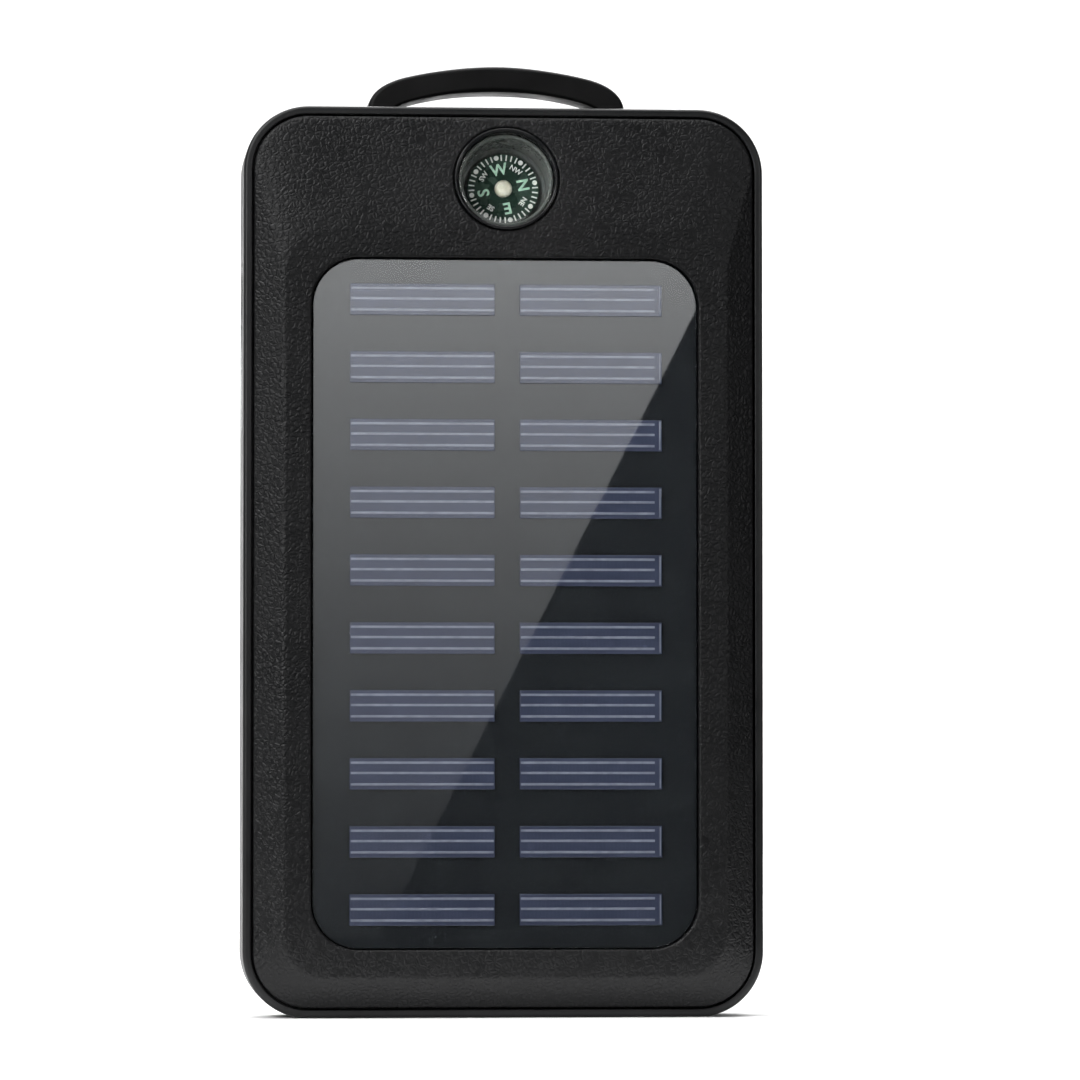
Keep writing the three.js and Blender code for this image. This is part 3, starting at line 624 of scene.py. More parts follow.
def curved(start, corner, end, steps):
    """Rings that turn smoothly from one to another round a corner ring."""
    rings = []
    for step in range(steps + 1):
        share = step / steps
        rings.append(blend(blend(start, corner, share), blend(corner, end, share), share))
    return rings


def pocket_ring(offset, y):
    side = PANEL_HIGH.x + POCKET["gap"] + offset
    span = (PANEL_LOW.z - POCKET["gap"] - offset, PANEL_HIGH.z + POCKET["gap"] + offset)
    return facing_y(rounded((-side, side), span, PANEL_CORNER + POCKET["gap"] + offset, CORNER_STEPS), y)


def compass_matrix():
    """The compass's own frame: local Y runs into the case along the joint's axis."""
    joint = next(j for j in frame["record"]["behaviour"]["joints"] if j["name"] == "compass_turn")
    inward = -Vector(joint["axis"]).normalized()
    right = Vector((1, 0, 0))
    turn = Matrix((right, inward, right.cross(inward))).transposed().to_4x4()
    return Matrix.Translation(Vector(joint["pos_m"]) / MM) @ turn


COMPASS = compass_matrix()
SEAT = {"radius": 7.65, "round": 0.3, "depth": 1.2, "bore": 7.1}
SEAT_TUBE = {"radius": 8.6, "top": 1.3, "bottom": 3.4}


def front_cover():
    """A hipped roof with soft creases, a lipped pocket for the panel and a seat for the compass."""
    rim_round, crease, landing = 0.06, 0.1, 0.45
    edge_side = facing_y(case_outline(ROOF_INSET), ROOF["edge"] + 0.35)
    inner = ROOF_INSET + ROOF["thickness"]
    inside = ROOF["plateau"] + ROOF["thickness"]
    rings = [
        pocket_ring(POCKET["wall"], POCKET["back"]),
        pocket_ring(POCKET["wall"], inside),
        plateau_ring(ROOF["thickness"] / 2, inside),
        facing_y(case_outline(inner), ROOF["edge"] + ROOF["thickness"]),
        facing_y(case_outline(inner), ROOF["skirt"]),
        facing_y(case_outline(ROOF_INSET), ROOF["skirt"]),
    ]
    rings += curved(edge_side, roof_ring(0), roof_ring(rim_round), EDGE_STEPS)
    rings += [roof_ring(0.3), roof_ring(0.55)]
    rings += curved(roof_ring(1 - crease), plateau_ring(0), plateau_ring(landing), 8)
    rings += [plateau_ring(landing + 1)]
    for across, along in quarter_round(POCKET["lip"]):
        rings.append(pocket_ring(across, ROOF["plateau"] + along))
    rings.append(pocket_ring(0, POCKET["floor"]))
    radius, bore, top, bottom = SEAT["radius"], SEAT["bore"], SEAT_TUBE["top"], SEAT_TUBE["bottom"]
    seat = [(0, -2), (radius + SEAT["round"], -2)]
    seat += [(radius + across, along) for across, along in quarter_round(SEAT["round"])]
    seat += [(radius, SEAT["depth"]), (bore, SEAT["depth"]), (bore, 9), (0, 9)]
    outer = SEAT_TUBE["radius"]
    tube = [(bore, top), (outer, top), (outer, bottom), (bore, bottom), (bore, top)]
    posts = [rod((*centre_of(ends), ROOF["edge"] + 1, -0.2), 2.2) for ends in SCREWS.values()]
    pilot = SCREW["shank"] + 0.12
    pilots = [rod((*centre_of(ends), SCREW["tip"] - 0.8, 1), pilot) for ends in SCREWS.values()]
    pin_posts = [rod((*centre_of(pin), ROOF["edge"] + 1, STRAP_LOW.y - 0.4), 2.1) for pin in STRAP_PINS]
    pin_seats = [rod((*centre_of(pin), pin[0].y - 0.2, 1), pin_radius(pin) + 0.15) for pin in STRAP_PINS]
    leads = [rod((x, 100, POCKET["floor"] - 1, POCKET["back"] + 1), 1.2) for x in (-3, 3)]
    piece(
        "roof_cover",
        skin(rings),
        COVER_PLASTIC,
        "front_cover",
        replaces=["front_cover"],
        adds=[*posts, *pin_posts],
        cuts=[moved(turned(seat), COMPASS), *pilots, *pin_seats, *leads],
    )
    piece("compass_seat_tube", moved(turned(tube), COMPASS), COVER_PLASTIC, "front_cover")


def centre_of(ends):
    """The middle of a node's box, seen along Y."""
    low, high = ends
    return (low.x + high.x) / 2, (low.z + high.z) / 2


def pin_radius(pin):
    low, high = pin
    return (high.x - low.x) / 2


def side_outline(half_y, z_span, radius):
    return rectangle((SIDE_Y - half_y, SIDE_Y + half_y), z_span, radius)


FLAP_LOW, FLAP_HIGH = extent("port_cover")
ANCHOR_LOW, ANCHOR_HIGH = extent("port_cover_anchor")
FLAP_INNER = ANCHOR_LOW.x
FLAP_CORNER = 1.5
BUTTON_LOW, BUTTON_HIGH = extent("power_button")
BUTTON_FLANGE = 1.0
LENS_LOW, LENS_HIGH = extent("flood_lens")
FLOOD = {"flange": 1.2, "corner": 3.5}
USB_A = {name: extent(f"usb_a_shell_{name}") for name in ("upper", "lower")}
USB_C = extent("usb_c_shell")
USB_A_CORNER, USB_C_CORNER = 0.6, 1.6
SOCKETS = [*((shell, USB_A_CORNER) for shell in USB_A.values()), (USB_C, USB_C_CORNER)]


def flood_outline(steps=SMALL_STEPS):
    """The flood light's window, as a function of an offset outwards."""
    flange = FLOOD["flange"]
    x = (LENS_LOW.x + flange, LENS_HIGH.x - flange)
    return rectangle(x, (LENS_LOW.z + flange, LENS_HIGH.z - flange), FLOOD["corner"], steps)


def flap_outline():
    """The port cover's whole moulding, with its anchor strip."""
    return rectangle((FLAP_LOW.y, ANCHOR_HIGH.y), (FLAP_LOW.z, FLAP_HIGH.z), FLAP_CORNER)


def socket_outline(shell, corner):
    low, high = shell
    return rectangle((low.y, high.y), (low.z, high.z), corner)


def button_outline():
    """The cap of the power button, without the flange that keeps it in."""
    flange = BUTTON_FLANGE
    y = (BUTTON_LOW.y + flange, BUTTON_HIGH.y - flange)
    z = (BUTTON_LOW.z + flange, BUTTON_HIGH.z - flange)
    return rectangle(y, z, (y[1] - y[0]) / 2 - 0.02)


def pipe_outline():
    low, high = extent("indicator_light_pipe")
    return side_outline(0.8, (low.z + 0.2, high.z - 0.2), 0.78)


GRIP = {"count": 7, "first": 26.0, "pitch": 5.2, "reach": 19.0, "width": 1.5, "depth": 0.45}
STRAP_SLOT = {"gap": 0.3, "corner": 0.6, "depth": 4}
THROUGH_SIDE = (HALF_WIDTH - 4, HALF_WIDTH + 1)  # in x, from inside the case to outside it


def shell_cuts():
    half, back_wall = HALF_WIDTH, BACK - WALL["back"]
    for ends in SCREWS.values():
        x, z = centre_of(ends)
        yield rod((x, z, -1, BACK + 1), 1.25)
        yield plug(circle(x, z, SCREW["head"] + 0.3), facing_y, BACK, SCREW["front"] - 0.2, LIP["screw"])
    for pin in STRAP_PINS:
        yield rod((*centre_of(pin), STRAP_HIGH.y, pin[1].y + 0.2), pin_radius(pin) + 0.15)
    for side in (-1, 1):
        gap = STRAP_SLOT["gap"]
        ends = (STRAP_INSIDE[0][0] - gap, STRAP_OUTSIDE[0][0] + gap)
        span = sorted(STRAP_MIDDLE + side * end for end in ends)
        slot = rectangle(span, (STRAP_LOW.y - gap, STRAP_HIGH.y + gap), STRAP_SLOT["corner"])
        yield plug(slot, facing_z, HEIGHT, HEIGHT - STRAP_SLOT["depth"], LIP["strap"])
    recess = flap_outline()
    yield plug(lambda offset: recess(offset + 0.15), facing_x, half, FLAP_INNER - 0.1, LIP["port"])
    for shell, corner in SOCKETS:
        yield prism(facing_x, socket_outline(shell, corner)(0.2), THROUGH_SIDE)
    hole, window, lens = button_outline(), pipe_outline(), flood_outline()
    yield plug(lambda offset: hole(offset + 0.25), facing_x, -half, 4 - half, LIP["button"])
    yield plug(lambda offset: window(offset + 0.15), facing_x, -half, 4 - half, LIP["window"])
    yield plug(lambda offset: lens(offset + 0.2), facing_y, BACK, back_wall - 1, LIP["lens"])
    for row in range(GRIP["count"]):
        half_width, z = GRIP["width"] / 2, GRIP["first"] + row * GRIP["pitch"]
        groove = rectangle((-GRIP["reach"], GRIP["reach"]), about(z, half_width), half_width - LEAST_CORNER)
        yield plug(lambda offset: groove(offset - 0.3), facing_y, BACK, BACK - GRIP["depth"], 0.3)


def rear_shell():
    """A deep tray with a rounded rim, a rounded back, screw bosses and every opening of the case."""
    back_wall = BACK - WALL["back"]
    rings = [facing_y(case_outline(WALL["side"]), y) for y in (back_wall, WALL["ledge"])]
    rings.append(facing_y(case_outline(RIM["thickness"]), WALL["ledge"]))
    for across, along in quarter_round(RIM["inner_round"]):
        rings.append(facing_y(case_outline(RIM["thickness"] - along), RIM_FRONT + across))
    for across, along in quarter_round(RIM["outer_round"]):
        rings.append(facing_y(case_outline(across), RIM_FRONT + along))
    for across, along in quarter_round(BACK_ROUND, 10):
        rings.append(facing_y(case_outline(along), BACK - across))
    bosses = [rod((*centre_of(ends), 0, back_wall + 0.1), 2.7) for ends in SCREWS.values()]
    pins = [rod((*centre_of(pin), STRAP_HIGH.y + 0.3, back_wall + 0.1), 2.2) for pin in STRAP_PINS]
    rib = block((-27, 27), (2.7, back_wall + 0.1), (78, 79.2))
    piece(
        "rear_case",
        skin(rings),
        SHELL_PLASTIC,
        "rear_shell",
        replaces=["rear_shell"],
        adds=[*bosses, *pins, rib],
        cuts=shell_cuts(),
    )


def rear_screws():
    """Pan-headed screws with a cross recess."""
    head, back = SCREW["head"], SCREW["back"]
    front, shank, tip = SCREW["front"], SCREW["shank"], SCREW["tip"]
    dome = [(0, back), (head * 0.55, back - 0.03), (head * 0.85, back - 0.22), (head, back - 0.6)]
    profile = [*dome, (head, front), (shank, front), (shank, tip + 0.8), (0.2, tip), (0, tip)]
    profile = softened(profile, 0.15, 2)
    for name, ends in SCREWS.items():
        x, z = centre_of(ends)
        place = Matrix.Translation((x, 0, z)) @ Matrix.Rotation(radians(17 * x + 5 * z), 4, "Y")
        cross = [
            moved(skin([facing_y(rounded((-a, a), (-b, b), 0.1), y) for y, a, b in section]), place)
            for section in (
                [(back + 1, 1.3, 0.3), (back - 0.7, 0.95, 0.16)],
                [(back + 1, 0.3, 1.3), (back - 0.7, 0.16, 0.95)],
            )
        ]
        screw = moved(turned(profile, 40), place)
        piece(f"pan_{name}", screw, NICKEL, "rear_screws", replaces=[name], cuts=cross)


STRAP_MIDDLE = (STRAP_LOW.x + STRAP_HIGH.x) / 2
# Half of the arch from a foot to the crown: (x, height above the case) points that guide two curves a side.
STRAP_OUTSIDE = [(18.6, 0.4), (18.3, 2.6), (16.2, 4), (13.2, 4.75), (9.5, 5.65), (4.5, 6.4), (0, 6.4)]
STRAP_INSIDE = [(14.4, 0.4), (13, 1.2), (10.8, 1.65), (8.6, 2.05), (6, 2.5), (3, 2.7), (0, 2.7)]


def strap_half():
    """Pairs of outer and inner points, from a foot up to the crown, in the plane of the case."""
    outer, inner = STRAP_OUTSIDE[0][0], STRAP_INSIDE[0][0]
    pairs = [((outer, z), (inner, z)) for z in (STRAP_LOW.z, HEIGHT - 2)]
    for first in (0, 3):
        outside, inside = (
            bezier([(x, HEIGHT + z) for x, z in guides[first:first + 4]], 14)
            for guides in (STRAP_OUTSIDE, STRAP_INSIDE)
        )
        pairs += list(zip(outside, inside))[bool(first):]
    return [(Vector(a), Vector(b)) for a, b in pairs]


def carry_strap():
    """A moulded rubber handle with round edges, swept from foot to foot."""
    half = strap_half()
    mirrored = [(Vector((-a.x, a.y)), Vector((-b.x, b.y))) for a, b in reversed(half[:-1])]
    rings = []
    for outside, inside in half + mirrored:
        across = outside - inside
        section = rounded((0, across.length), (STRAP_LOW.y, STRAP_HIGH.y), 0.75, 5)
        direction = across.normalized()
        ring = []
        for reach, y in section:
            spot = inside + direction * reach
            ring.append((STRAP_MIDDLE + spot.x, y, spot.y))
        rings.append(ring)
    levels = (STRAP_LOW.y - 1, STRAP_HIGH.y + 1)
    holes = [rod((*centre_of(pin), *levels), pin_radius(pin) + 0.15) for pin in STRAP_PINS]
    piece("carry_handle", skin(rings), STRAP_RUBBER, "carry_strap", replaces=["carry_strap"], cuts=holes)


# ---------------------------------------------------------------- the solar panel

CELL_ROWS = {"count": 10, "first": 15.5, "pitch": 9.72, "height": 4.5}
BUSBARS = {"offsets": (-1.5, 0.12, 1.6), "width": 0.34, "rise": 0.03, "inset": 0.15}
BUS_END = {"inset": 0.9, "width": 0.16}
RIBBON = {"width": 1.4, "thickness": 0.004}


def panel_outline(inset):
    side = (PANEL_LOW.x + inset, PANEL_HIGH.x - inset)
    return rectangle(side, (PANEL_LOW.z + inset, PANEL_HIGH.z - inset), PANEL_CORNER - inset, CORNER_STEPS)


def cell_rows():
    return [CELL_ROWS["first"] + row * CELL_ROWS["pitch"] for row in range(CELL_ROWS["count"])]


def solar_panel():
    outline = panel_outline(0)
    piece(
        "panel_laminate",
        pad(outline, facing_y, BOARD_LOW.y, BOARD_HIGH.y, 0.12),
        SOLDER_MASK,
        "panel_board",
        replaces=["panel_board"],
    )
    piece(
        "panel_window",
        pad(outline, facing_y, PANEL_LOW.y, PANEL_HIGH.y, 0.16),
        PANEL_RESIN,
        "panel_cover",
        replaces=["panel_cover"],
    )
    for side in ("left", "right"):
        cell_column(side)


def cell_column(side):
    """Ten silicon strips on a ribbon in the solder mask's dark finish, each printed with three silver
    busbars.
    """
    low, high = extent(f"cell_string_{side}")
    front, half, rows = low.y, CELL_ROWS["height"] / 2, cell_rows()
    strips = [block((low.x, high.x), (front, front + 0.2), about(z, half), 0.05) for z in rows]
    width = about((low.x + high.x) / 2, RIBBON["width"] / 2)
    ribbon = block(width, (high.y - RIBBON["thickness"], high.y), (rows[0], rows[-1]), 0.001)
    strings = [f"cell_string_{side}"]
    piece(f"silicon_strips_{side}", joined(*strips), SILICON, "cell_strings", replaces=strings)
    piece(f"cell_ribbon_{side}", ribbon, SOLDER_MASK, "cell_strings")
    layer = (front - BUSBARS["rise"], front + 0.02)
    lines = []
    for z in rows:
        end = high.x - BUSBARS["inset"]
        if side == "right":
            end -= BUS_END["inset"]
            x = high.x - BUS_END["inset"] / 2 + 0.1
            lines.append(block((x, x + BUS_END["width"]), layer, (z - half + 0.2, z + half - 0.2), 0.02))
        for offset in BUSBARS["offsets"]:
            low_z = z + offset - BUSBARS["width"] / 2
            span = (low_z, low_z + BUSBARS["width"])
            lines.append(block((low.x + BUSBARS["inset"], end), layer, span, 0.02))
    piece(f"busbars_{side}", joined(*lines), SILVER_PRINT, "cell_strings")


# ---------------------------------------------------------------- the compass

DIAL = {"radius": 5.2, "hole": 0.6, "depth": 6.1, "thickness": 0.3, "north": 78, "print": 0.04}
TICKS = {"count": 40, "inner": 4.2, "outer": 5.08, "width": 0.2}


def on_dial(angle, radius):
    """A spot on the card, angle degrees clockwise from the top."""
    return radius * sin(radians(angle)), radius * cos(radians(angle))


def lifted(points):
    """A thin print on the card from an outline drawn in its plane."""
    face, top = DIAL["depth"] + 0.01, DIAL["depth"] - DIAL["print"]
    return prism(facing_y, points, (face, top))


def turned_points(points, angle, centre):
    """An outline turned clockwise and moved to centre."""
    c, s = cos(radians(angle)), sin(radians(angle))
    return [(centre[0] + a * c + b * s, centre[1] - a * s + b * c) for a, b in points]


def letter(text, size):
    """A capital as flat points and faces, centred."""
    curve = bpy.data.curves.new("letter", "FONT")
    curve.body, curve.size, curve.resolution_u = text, size, 3
    curve.align_x, curve.align_y = "CENTER", "CENTER"
    curve.offset = size * 0.022
    curve.extrude = DIAL["print"] / 2
    obj = bpy.data.objects.new("letter", curve)
    bpy.context.scene.collection.objects.link(obj)
    mesh = bpy.data.meshes.new_from_object(obj.evaluated_get(bpy.context.evaluated_depsgraph_get()))
    part = ([tuple(v.co) for v in mesh.vertices], [tuple(p.vertices) for p in mesh.polygons])
    bpy.data.objects.remove(obj)
    return part


def placed_letter(text, size, angle, radius):
    """A capital on the card, its foot towards the pivot."""
    a, b = on_dial(angle, radius)
    points, faces = letter(text, size)
    level = DIAL["depth"] - DIAL["print"] / 2
    flat = turned_points([(p[0], p[1]) for p in points], angle, (a, b))
    return [(u, level - p[2], v) for (u, v), p in zip(flat, points)], faces


def compass_card():
    radius, depth = DIAL["radius"], DIAL["depth"]
    hole, back = DIAL["hole"], depth + DIAL["thickness"]
    card = softened([(hole, depth), (radius, depth), (radius, back), (hole, back)], 0.08)
    options = {"body": "compass_rose", "slot": "compass_card"}
    card = moved(turned([*card, card[0]]), COMPASS)
    piece("dial_card", card, DIAL_INK, replaces=["compass_card"], **options)
    marks = []
    for tick in range(TICKS["count"]):
        angle = DIAL["north"] + tick * 360 / TICKS["count"]
        if tick % 5 == 0:
            spot = turned_points(circle(0, 0, 0.36, 20)(0), 0, on_dial(angle, 4.68))
            marks.append(lifted(spot))
            continue
        width, (inner, outer) = TICKS["width"] / 2, (TICKS["inner"], TICKS["outer"])
        bar = rounded((-width, width), (inner, outer), 0.05, 2)
        marks.append(lifted(turned_points(bar, angle, (0, 0))))
    marks += [placed_letter(text, 1.05, DIAL["north"] + turn, 3.35) for text, turn in HALF_POINTS]
    piece("dial_marks", moved(joined(*marks), COMPASS), MARK_WHITE, **options)
    letters = [placed_letter(text, 2.35, DIAL["north"] + turn, 2.85) for text, turn in CARDINALS]
    piece("dial_letters", moved(joined(*letters), COMPASS), MARK_GREEN, **options)


CARDINALS = [("N", 0), ("E", 90), ("S", 180), ("W", 270)]
HALF_POINTS = [("NE", 45), ("SE", 135), ("SW", 225), ("NW", 315)]


def compass():
    """A button compass: bezel, domed lens, deep cup and a card that turns on its pivot.

    The profiles are (radius, depth) points in the compass's own frame.
    """
    bezel = softened(
        [(6.98, 0.6), (6.98, -0.1), (7.15, -0.33), (7.38, -0.33), (7.5, -0.15), (7.5, 1), (6.98, 1)], 0.1
    )
    lens = [(6.9 * sin(turn), 0.12 - 0.42 * cos(turn)) for turn in quarter(12)]
    lens += [(6.9, 0.6), (0, 0.6)]
    cup = softened([(0, 7.0), (5.9, 7.0), (6.3, 6.6), (6.3, 0.9), (6.85, 0.9), (6.85, 7.6)], 0.25)
    cup = [(0, 7.6), *cup, (0, 7.6)]
    cap = [(0, 5.2)] + [(1.25 * sin(turn), 5.85 - 0.65 * cos(turn)) for turn in quarter(8)[1:]]
    cap += [(1.28, 6.04), (0.5, 6.04), (0.5, 5.7), (0, 5.5)]
    turnings = [
        ("bezel_ring", [*bezel, bezel[0]], GLOSS_BLACK, "compass_bezel"),
        ("lens_dome", lens, LENS_RESIN, "compass_lens"),
        ("compass_bowl", cup, CUP_PLASTIC, "compass_cup"),
    ]
    for name, profile, material, node in turnings:
        piece(name, moved(turned(profile), COMPASS), material, node, replaces=[node])
    compass_card()
    cap = moved(turned(cap, 40), COMPASS)
    piece("dial_cap", cap, IVORY, "compass_cap", body="compass_rose", replaces=["compass_cap"])
    dress(FERRITE, "compass_magnet")
    dress(BRASS, "compass_pivot")


# ---------------------------------------------------------------- sockets, button and port cover


def usb_a_socket(name):
    low, high = USB_A[name]
    outline = socket_outline((low, high), USB_A_CORNER)
    can = pad(outline, facing_x, low.x, high.x, 0.1)
    mouth = plug(lambda offset: outline(offset - 0.35), facing_x, high.x, low.x + 0.35, 0.12)
    middle = (low.z + high.z) / 2
    springs = [
        prism(facing_y, rounded((high.x - 9, high.x - 4.5), about(z, 1), 0.4), (low.y - 1, low.y + 0.6))
        for z in (middle - 3.4, middle + 3.4)
    ]
    shell = [f"usb_a_shell_{name}"]
    piece(f"usb_a_can_{name}", can, TIN, "socket_shells", replaces=shell, cuts=[mouth, *springs])
    low, high = extent(f"usb_a_tongue_{name}")
    blade = (SIDE_Y + 0.4, SIDE_Y + 2.2)
    rear = block((low.x, low.x + 2), (low.y, high.y), (low.z, high.z), 0.15)
    front = block((low.x + 1.5, high.x), blade, about(middle, 5.6), 0.25)
    piece(
        f"usb_a_blade_{name}", rear, WHITE_PLASTIC, "socket_tongues",
        replaces=[f"usb_a_tongue_{name}"], adds=[front],
    )
    contacts = [
        block((low.x + 2.2, high.x - 0.8), (blade[0] - 0.12, blade[0] + 0.1), about(z, 0.5), 0.06)
        for z in (middle + 3.5 * step for step in (-1, -1 / 3, 1 / 3, 1))
    ]
    piece(f"usb_a_contacts_{name}", joined(*contacts), GOLD, "socket_shells")


def usb_c_socket():
    low, high = USB_C
    outline = socket_outline(USB_C, USB_C_CORNER)
    can = pad(outline, facing_x, low.x, high.x, 0.1)
    mouth = plug(lambda offset: outline(offset - 0.3), facing_x, high.x, low.x + 0.3, 0.1)
    piece("usb_c_can", can, TIN, "socket_shells", replaces=["usb_c_shell"], cuts=[mouth])
    low, high = extent("usb_c_tongue")
    middle = (low.z + high.z) / 2
    rear = block((low.x, low.x + 1.5), about(SIDE_Y, 1.1), about(middle, 3), 0.12)
    front = block((low.x + 1, high.x), about(SIDE_Y, 0.35), about(middle, 3.2), 0.14)
    piece("usb_c_blade", rear, BLACK_PLASTIC, "tactile_switch", replaces=["usb_c_tongue"], adds=[front])
    length = (high.x - 3, high.x - 0.4)
    contacts = [
        block(length, about(SIDE_Y + face, 0.05), about(middle + 0.5 * (step - 5.5), 0.14), 0.03)
        for face in (-0.35, 0.35)
        for step in range(12)
    ]
    piece("usb_c_contacts", joined(*contacts), GOLD, "socket_shells")


def port_cover():
    """A rubber flap with round edges, a thumbnail notch and three plugs, hung on a fixed anchor strip."""
    whole = flap_outline()
    half = HALF_WIDTH
    moulding = pad(whole, facing_x, FLAP_INNER, half, 0.28)
    length = (FLAP_LOW.z - 2, FLAP_HIGH.z + 2)
    behind = prism(facing_x, rounded((FLAP_HIGH.y, FLAP_HIGH.y + 5), length, 0.1), THROUGH_SIDE)
    ahead = prism(facing_x, rounded((FLAP_LOW.y - 2, ANCHOR_LOW.y), length, 0.1), THROUGH_SIDE)
    middle = (FLAP_LOW.z + FLAP_HIGH.z) / 2
    notch = rectangle((FLAP_LOW.y - 1.2, FLAP_LOW.y + 0.9), about(middle, 5), 0.85)
    plugs = []
    for shell, inset, corner in [*((shell, 1.2, 0.6) for shell in USB_A.values()), (USB_C, 0.8, 0.7)]:
        low, high = shell
        outline = rectangle((low.y + inset, high.y - inset), (low.z + inset, high.z - inset), corner)
        plugs.append(pad(outline, facing_x, FLAP_LOW.x, FLAP_INNER + 0.3, 0.2))
    ribs = [
        plug(side_outline(2.2, about(z, 0.45), 0.4), facing_x, half, half - 0.25, 0.12)
        for z in (middle + 1.8 * step for step in (-2, -1, 0, 1, 2))
    ]
    piece(
        "port_flap", moulding, FLAP_RUBBER, "port_cover", body="flap", replaces=["port_cover"],
        adds=plugs, cuts=[behind, plug(notch, facing_x, half, half - 0.5, 0.2), *ribs],
    )
    anchor = ["port_cover_anchor"]
    piece("port_flap_anchor", moulding, FLAP_RUBBER, "port_cover", replaces=anchor, cuts=[ahead])


def power_button():
    """A flanged stadium cap with a dished face and a raised dot for the fingertip."""
    outline = button_outline()
    half = HALF_WIDTH
    back = BUTTON_HIGH.x
    cap = pad(outline, facing_x, -half, back - 0.3, 0.3)
    flange = pad(lambda offset: outline(offset + BUTTON_FLANGE), facing_x, back - 0.6, back, 0.15)
    dish = plug(lambda offset: outline(offset - 1.0), facing_x, -half, 0.28 - half, 0.26)
    z = (BUTTON_LOW.z + BUTTON_HIGH.z) / 2
    sections = ((0.75, 0.4 - half), (0.6, 0.08 - half))
    dot = skin([facing_x(circle(SIDE_Y, z, radius)(0), x) for radius, x in sections])
    piece(
        "power_key", cap, GLOSS_BLACK, "power_button", body="button", replaces=["power_button"],
        adds=[flange], cuts=[dish],
    )
    piece("power_key_dot", dot, MARK_WHITE, "power_button", body="button")


# ---------------------------------------------------------------- the flood light

CHIPS = {"columns": 4, "rows": 3, "opening": 5.6, "size": 2.8}


def flood_spots():
    flange = FLOOD["flange"]
    x0, x1 = LENS_LOW.x + flange, LENS_HIGH.x - flange
    z0, z1 = LENS_LOW.z + flange, LENS_HIGH.z - flange
    for column in range(CHIPS["columns"]):
        for row in range(CHIPS["rows"]):
            x = x0 + (x1 - x0) * (column + 0.5) / CHIPS["columns"]
            yield x, z0 + (z1 - z0) * (row + 0.5) / CHIPS["rows"]


def flood_light():
    """Twelve yellow-white chips in square cups behind a ribbed lens."""
    outline = flood_outline(12)
    flange = FLOOD["flange"]

    def plate(low_y, high_y, edge):
        return pad(lambda offset: outline(offset + flange), facing_y, low_y, high_y, edge)

    low, high = extent("flood_reflector")
    half = CHIPS["opening"] / 2
    sections = ((half + 0.85, high.y + 0.3), (half - 0.25, low.y - 0.5))
    cups = [
        skin([facing_y(rounded(about(x, reach), about(z, reach), 0.9), y) for reach, y in sections])
        for x, z in flood_spots()
    ]
    film = metal("reflector_film", (0.82, 0.83, 0.84), 0.34, depth=0.0006)
    tray = plate(low.y, high.y, 0.1)
    piece("reflector_tray", tray, film, "flood_reflector", replaces=["flood_reflector"], cuts=cups)
    low, high = extent("flood_led_board")
    board = plate(low.y, high.y - 0.4, 0.05)
    piece("led_board", board, MASK_WHITE, "flood_led_board", replaces=["flood_led_board"])
    size, levels = CHIPS["size"] / 2, (high.y - 0.45, high.y - 0.02)
    bodies = [block(about(x, size), levels, about(z, size), 0.1) for x, z in flood_spots()]
    piece("led_bodies", joined(*bodies), WHITE_PLASTIC, "flood_led_board")
    sections = ((1.35, high.y - 0.2), (1.3, high.y), (0.9, high.y + 0.12))
    drops = [cone(x, z, 24, sections) for x, z in flood_spots()]
    piece("led_phosphor", joined(*drops), PHOSPHOR, "indicator_leds")
    flood_lens(outline, flange)


def flood_lens(outline, flange):
    low, high = LENS_LOW.y, LENS_HIGH.y
    window = pad(outline, facing_y, low + 0.1, high, 0.3)
    rim = pad(lambda offset: outline(offset + flange), facing_y, low, low + 0.5, 0.08)
    pitch, z0 = 1.5, LENS_LOW.z + flange + 2.5
    x = (LENS_LOW.x + flange + 2.2, LENS_HIGH.x - flange - 2.2)
    grooves = [
        plug(rectangle(x, (z0 + n * pitch, z0 + n * pitch + 0.35), 0.15, 3), facing_y, high, high - 0.3, 0.14)
        for n in range(int((LENS_HIGH.z - flange - 2.5 - z0) / pitch) + 1)
    ]
    piece(
        "ribbed_lens", window, FLOOD_RESIN, "flood_lens", replaces=["flood_lens"], adds=[rim], cuts=grooves
    )


# ---------------------------------------------------------------- inside


def battery_foam():
    """A soft pad between the two cells: crowned faces and pulled-in edges."""
    low, high = extent("battery_foam_pad")
    middle, half = [(a + b) / 2 for a, b in zip(low, high)], [(b - a) / 2 for a, b in zip(low, high)]
    columns, rows = 28, 32
    grid, faces = [], []
    for side in (-1, 1):
        for row in range(rows + 1):
            for column in range(columns + 1):
                u, v = 2 * column / columns - 1, 2 * row / rows - 1
                crown = ((1 - u**8) * (1 - v**8)) ** 0.35
                pulled = 1 - 0.012 * (1 - cos(pi * u)) * (1 + cos(pi * v)) / 4
                level = middle[1] + side * half[1] * (0.35 + 0.65 * crown)
                grid.append((middle[0] + u * half[0] * pulled, level, middle[2] + v * half[2]))
    stride, sheet = columns + 1, (columns + 1) * (rows + 1)
    for base in (0, sheet):
        for row in range(rows):
            for column in range(columns):
                a = base + row * stride + column
                faces.append((a, a + 1, a + stride + 1, a + stride))
    edge = [*range(stride), *(stride * (row + 1) - 1 for row in range(1, rows + 1))]
    edge += [*(rows * stride + column for column in range(columns - 1, -1, -1))]
    edge += [*(row * stride for row in range(rows - 1, 0, -1))]
    faces += [(a, b, sheet + b, sheet + a) for a, b in zip(edge, edge[1:] + edge[:1])]
    pad_piece = piece("foam_cushion", (grid, faces), foam(), "foam_pad", replaces=["battery_foam_pad"])


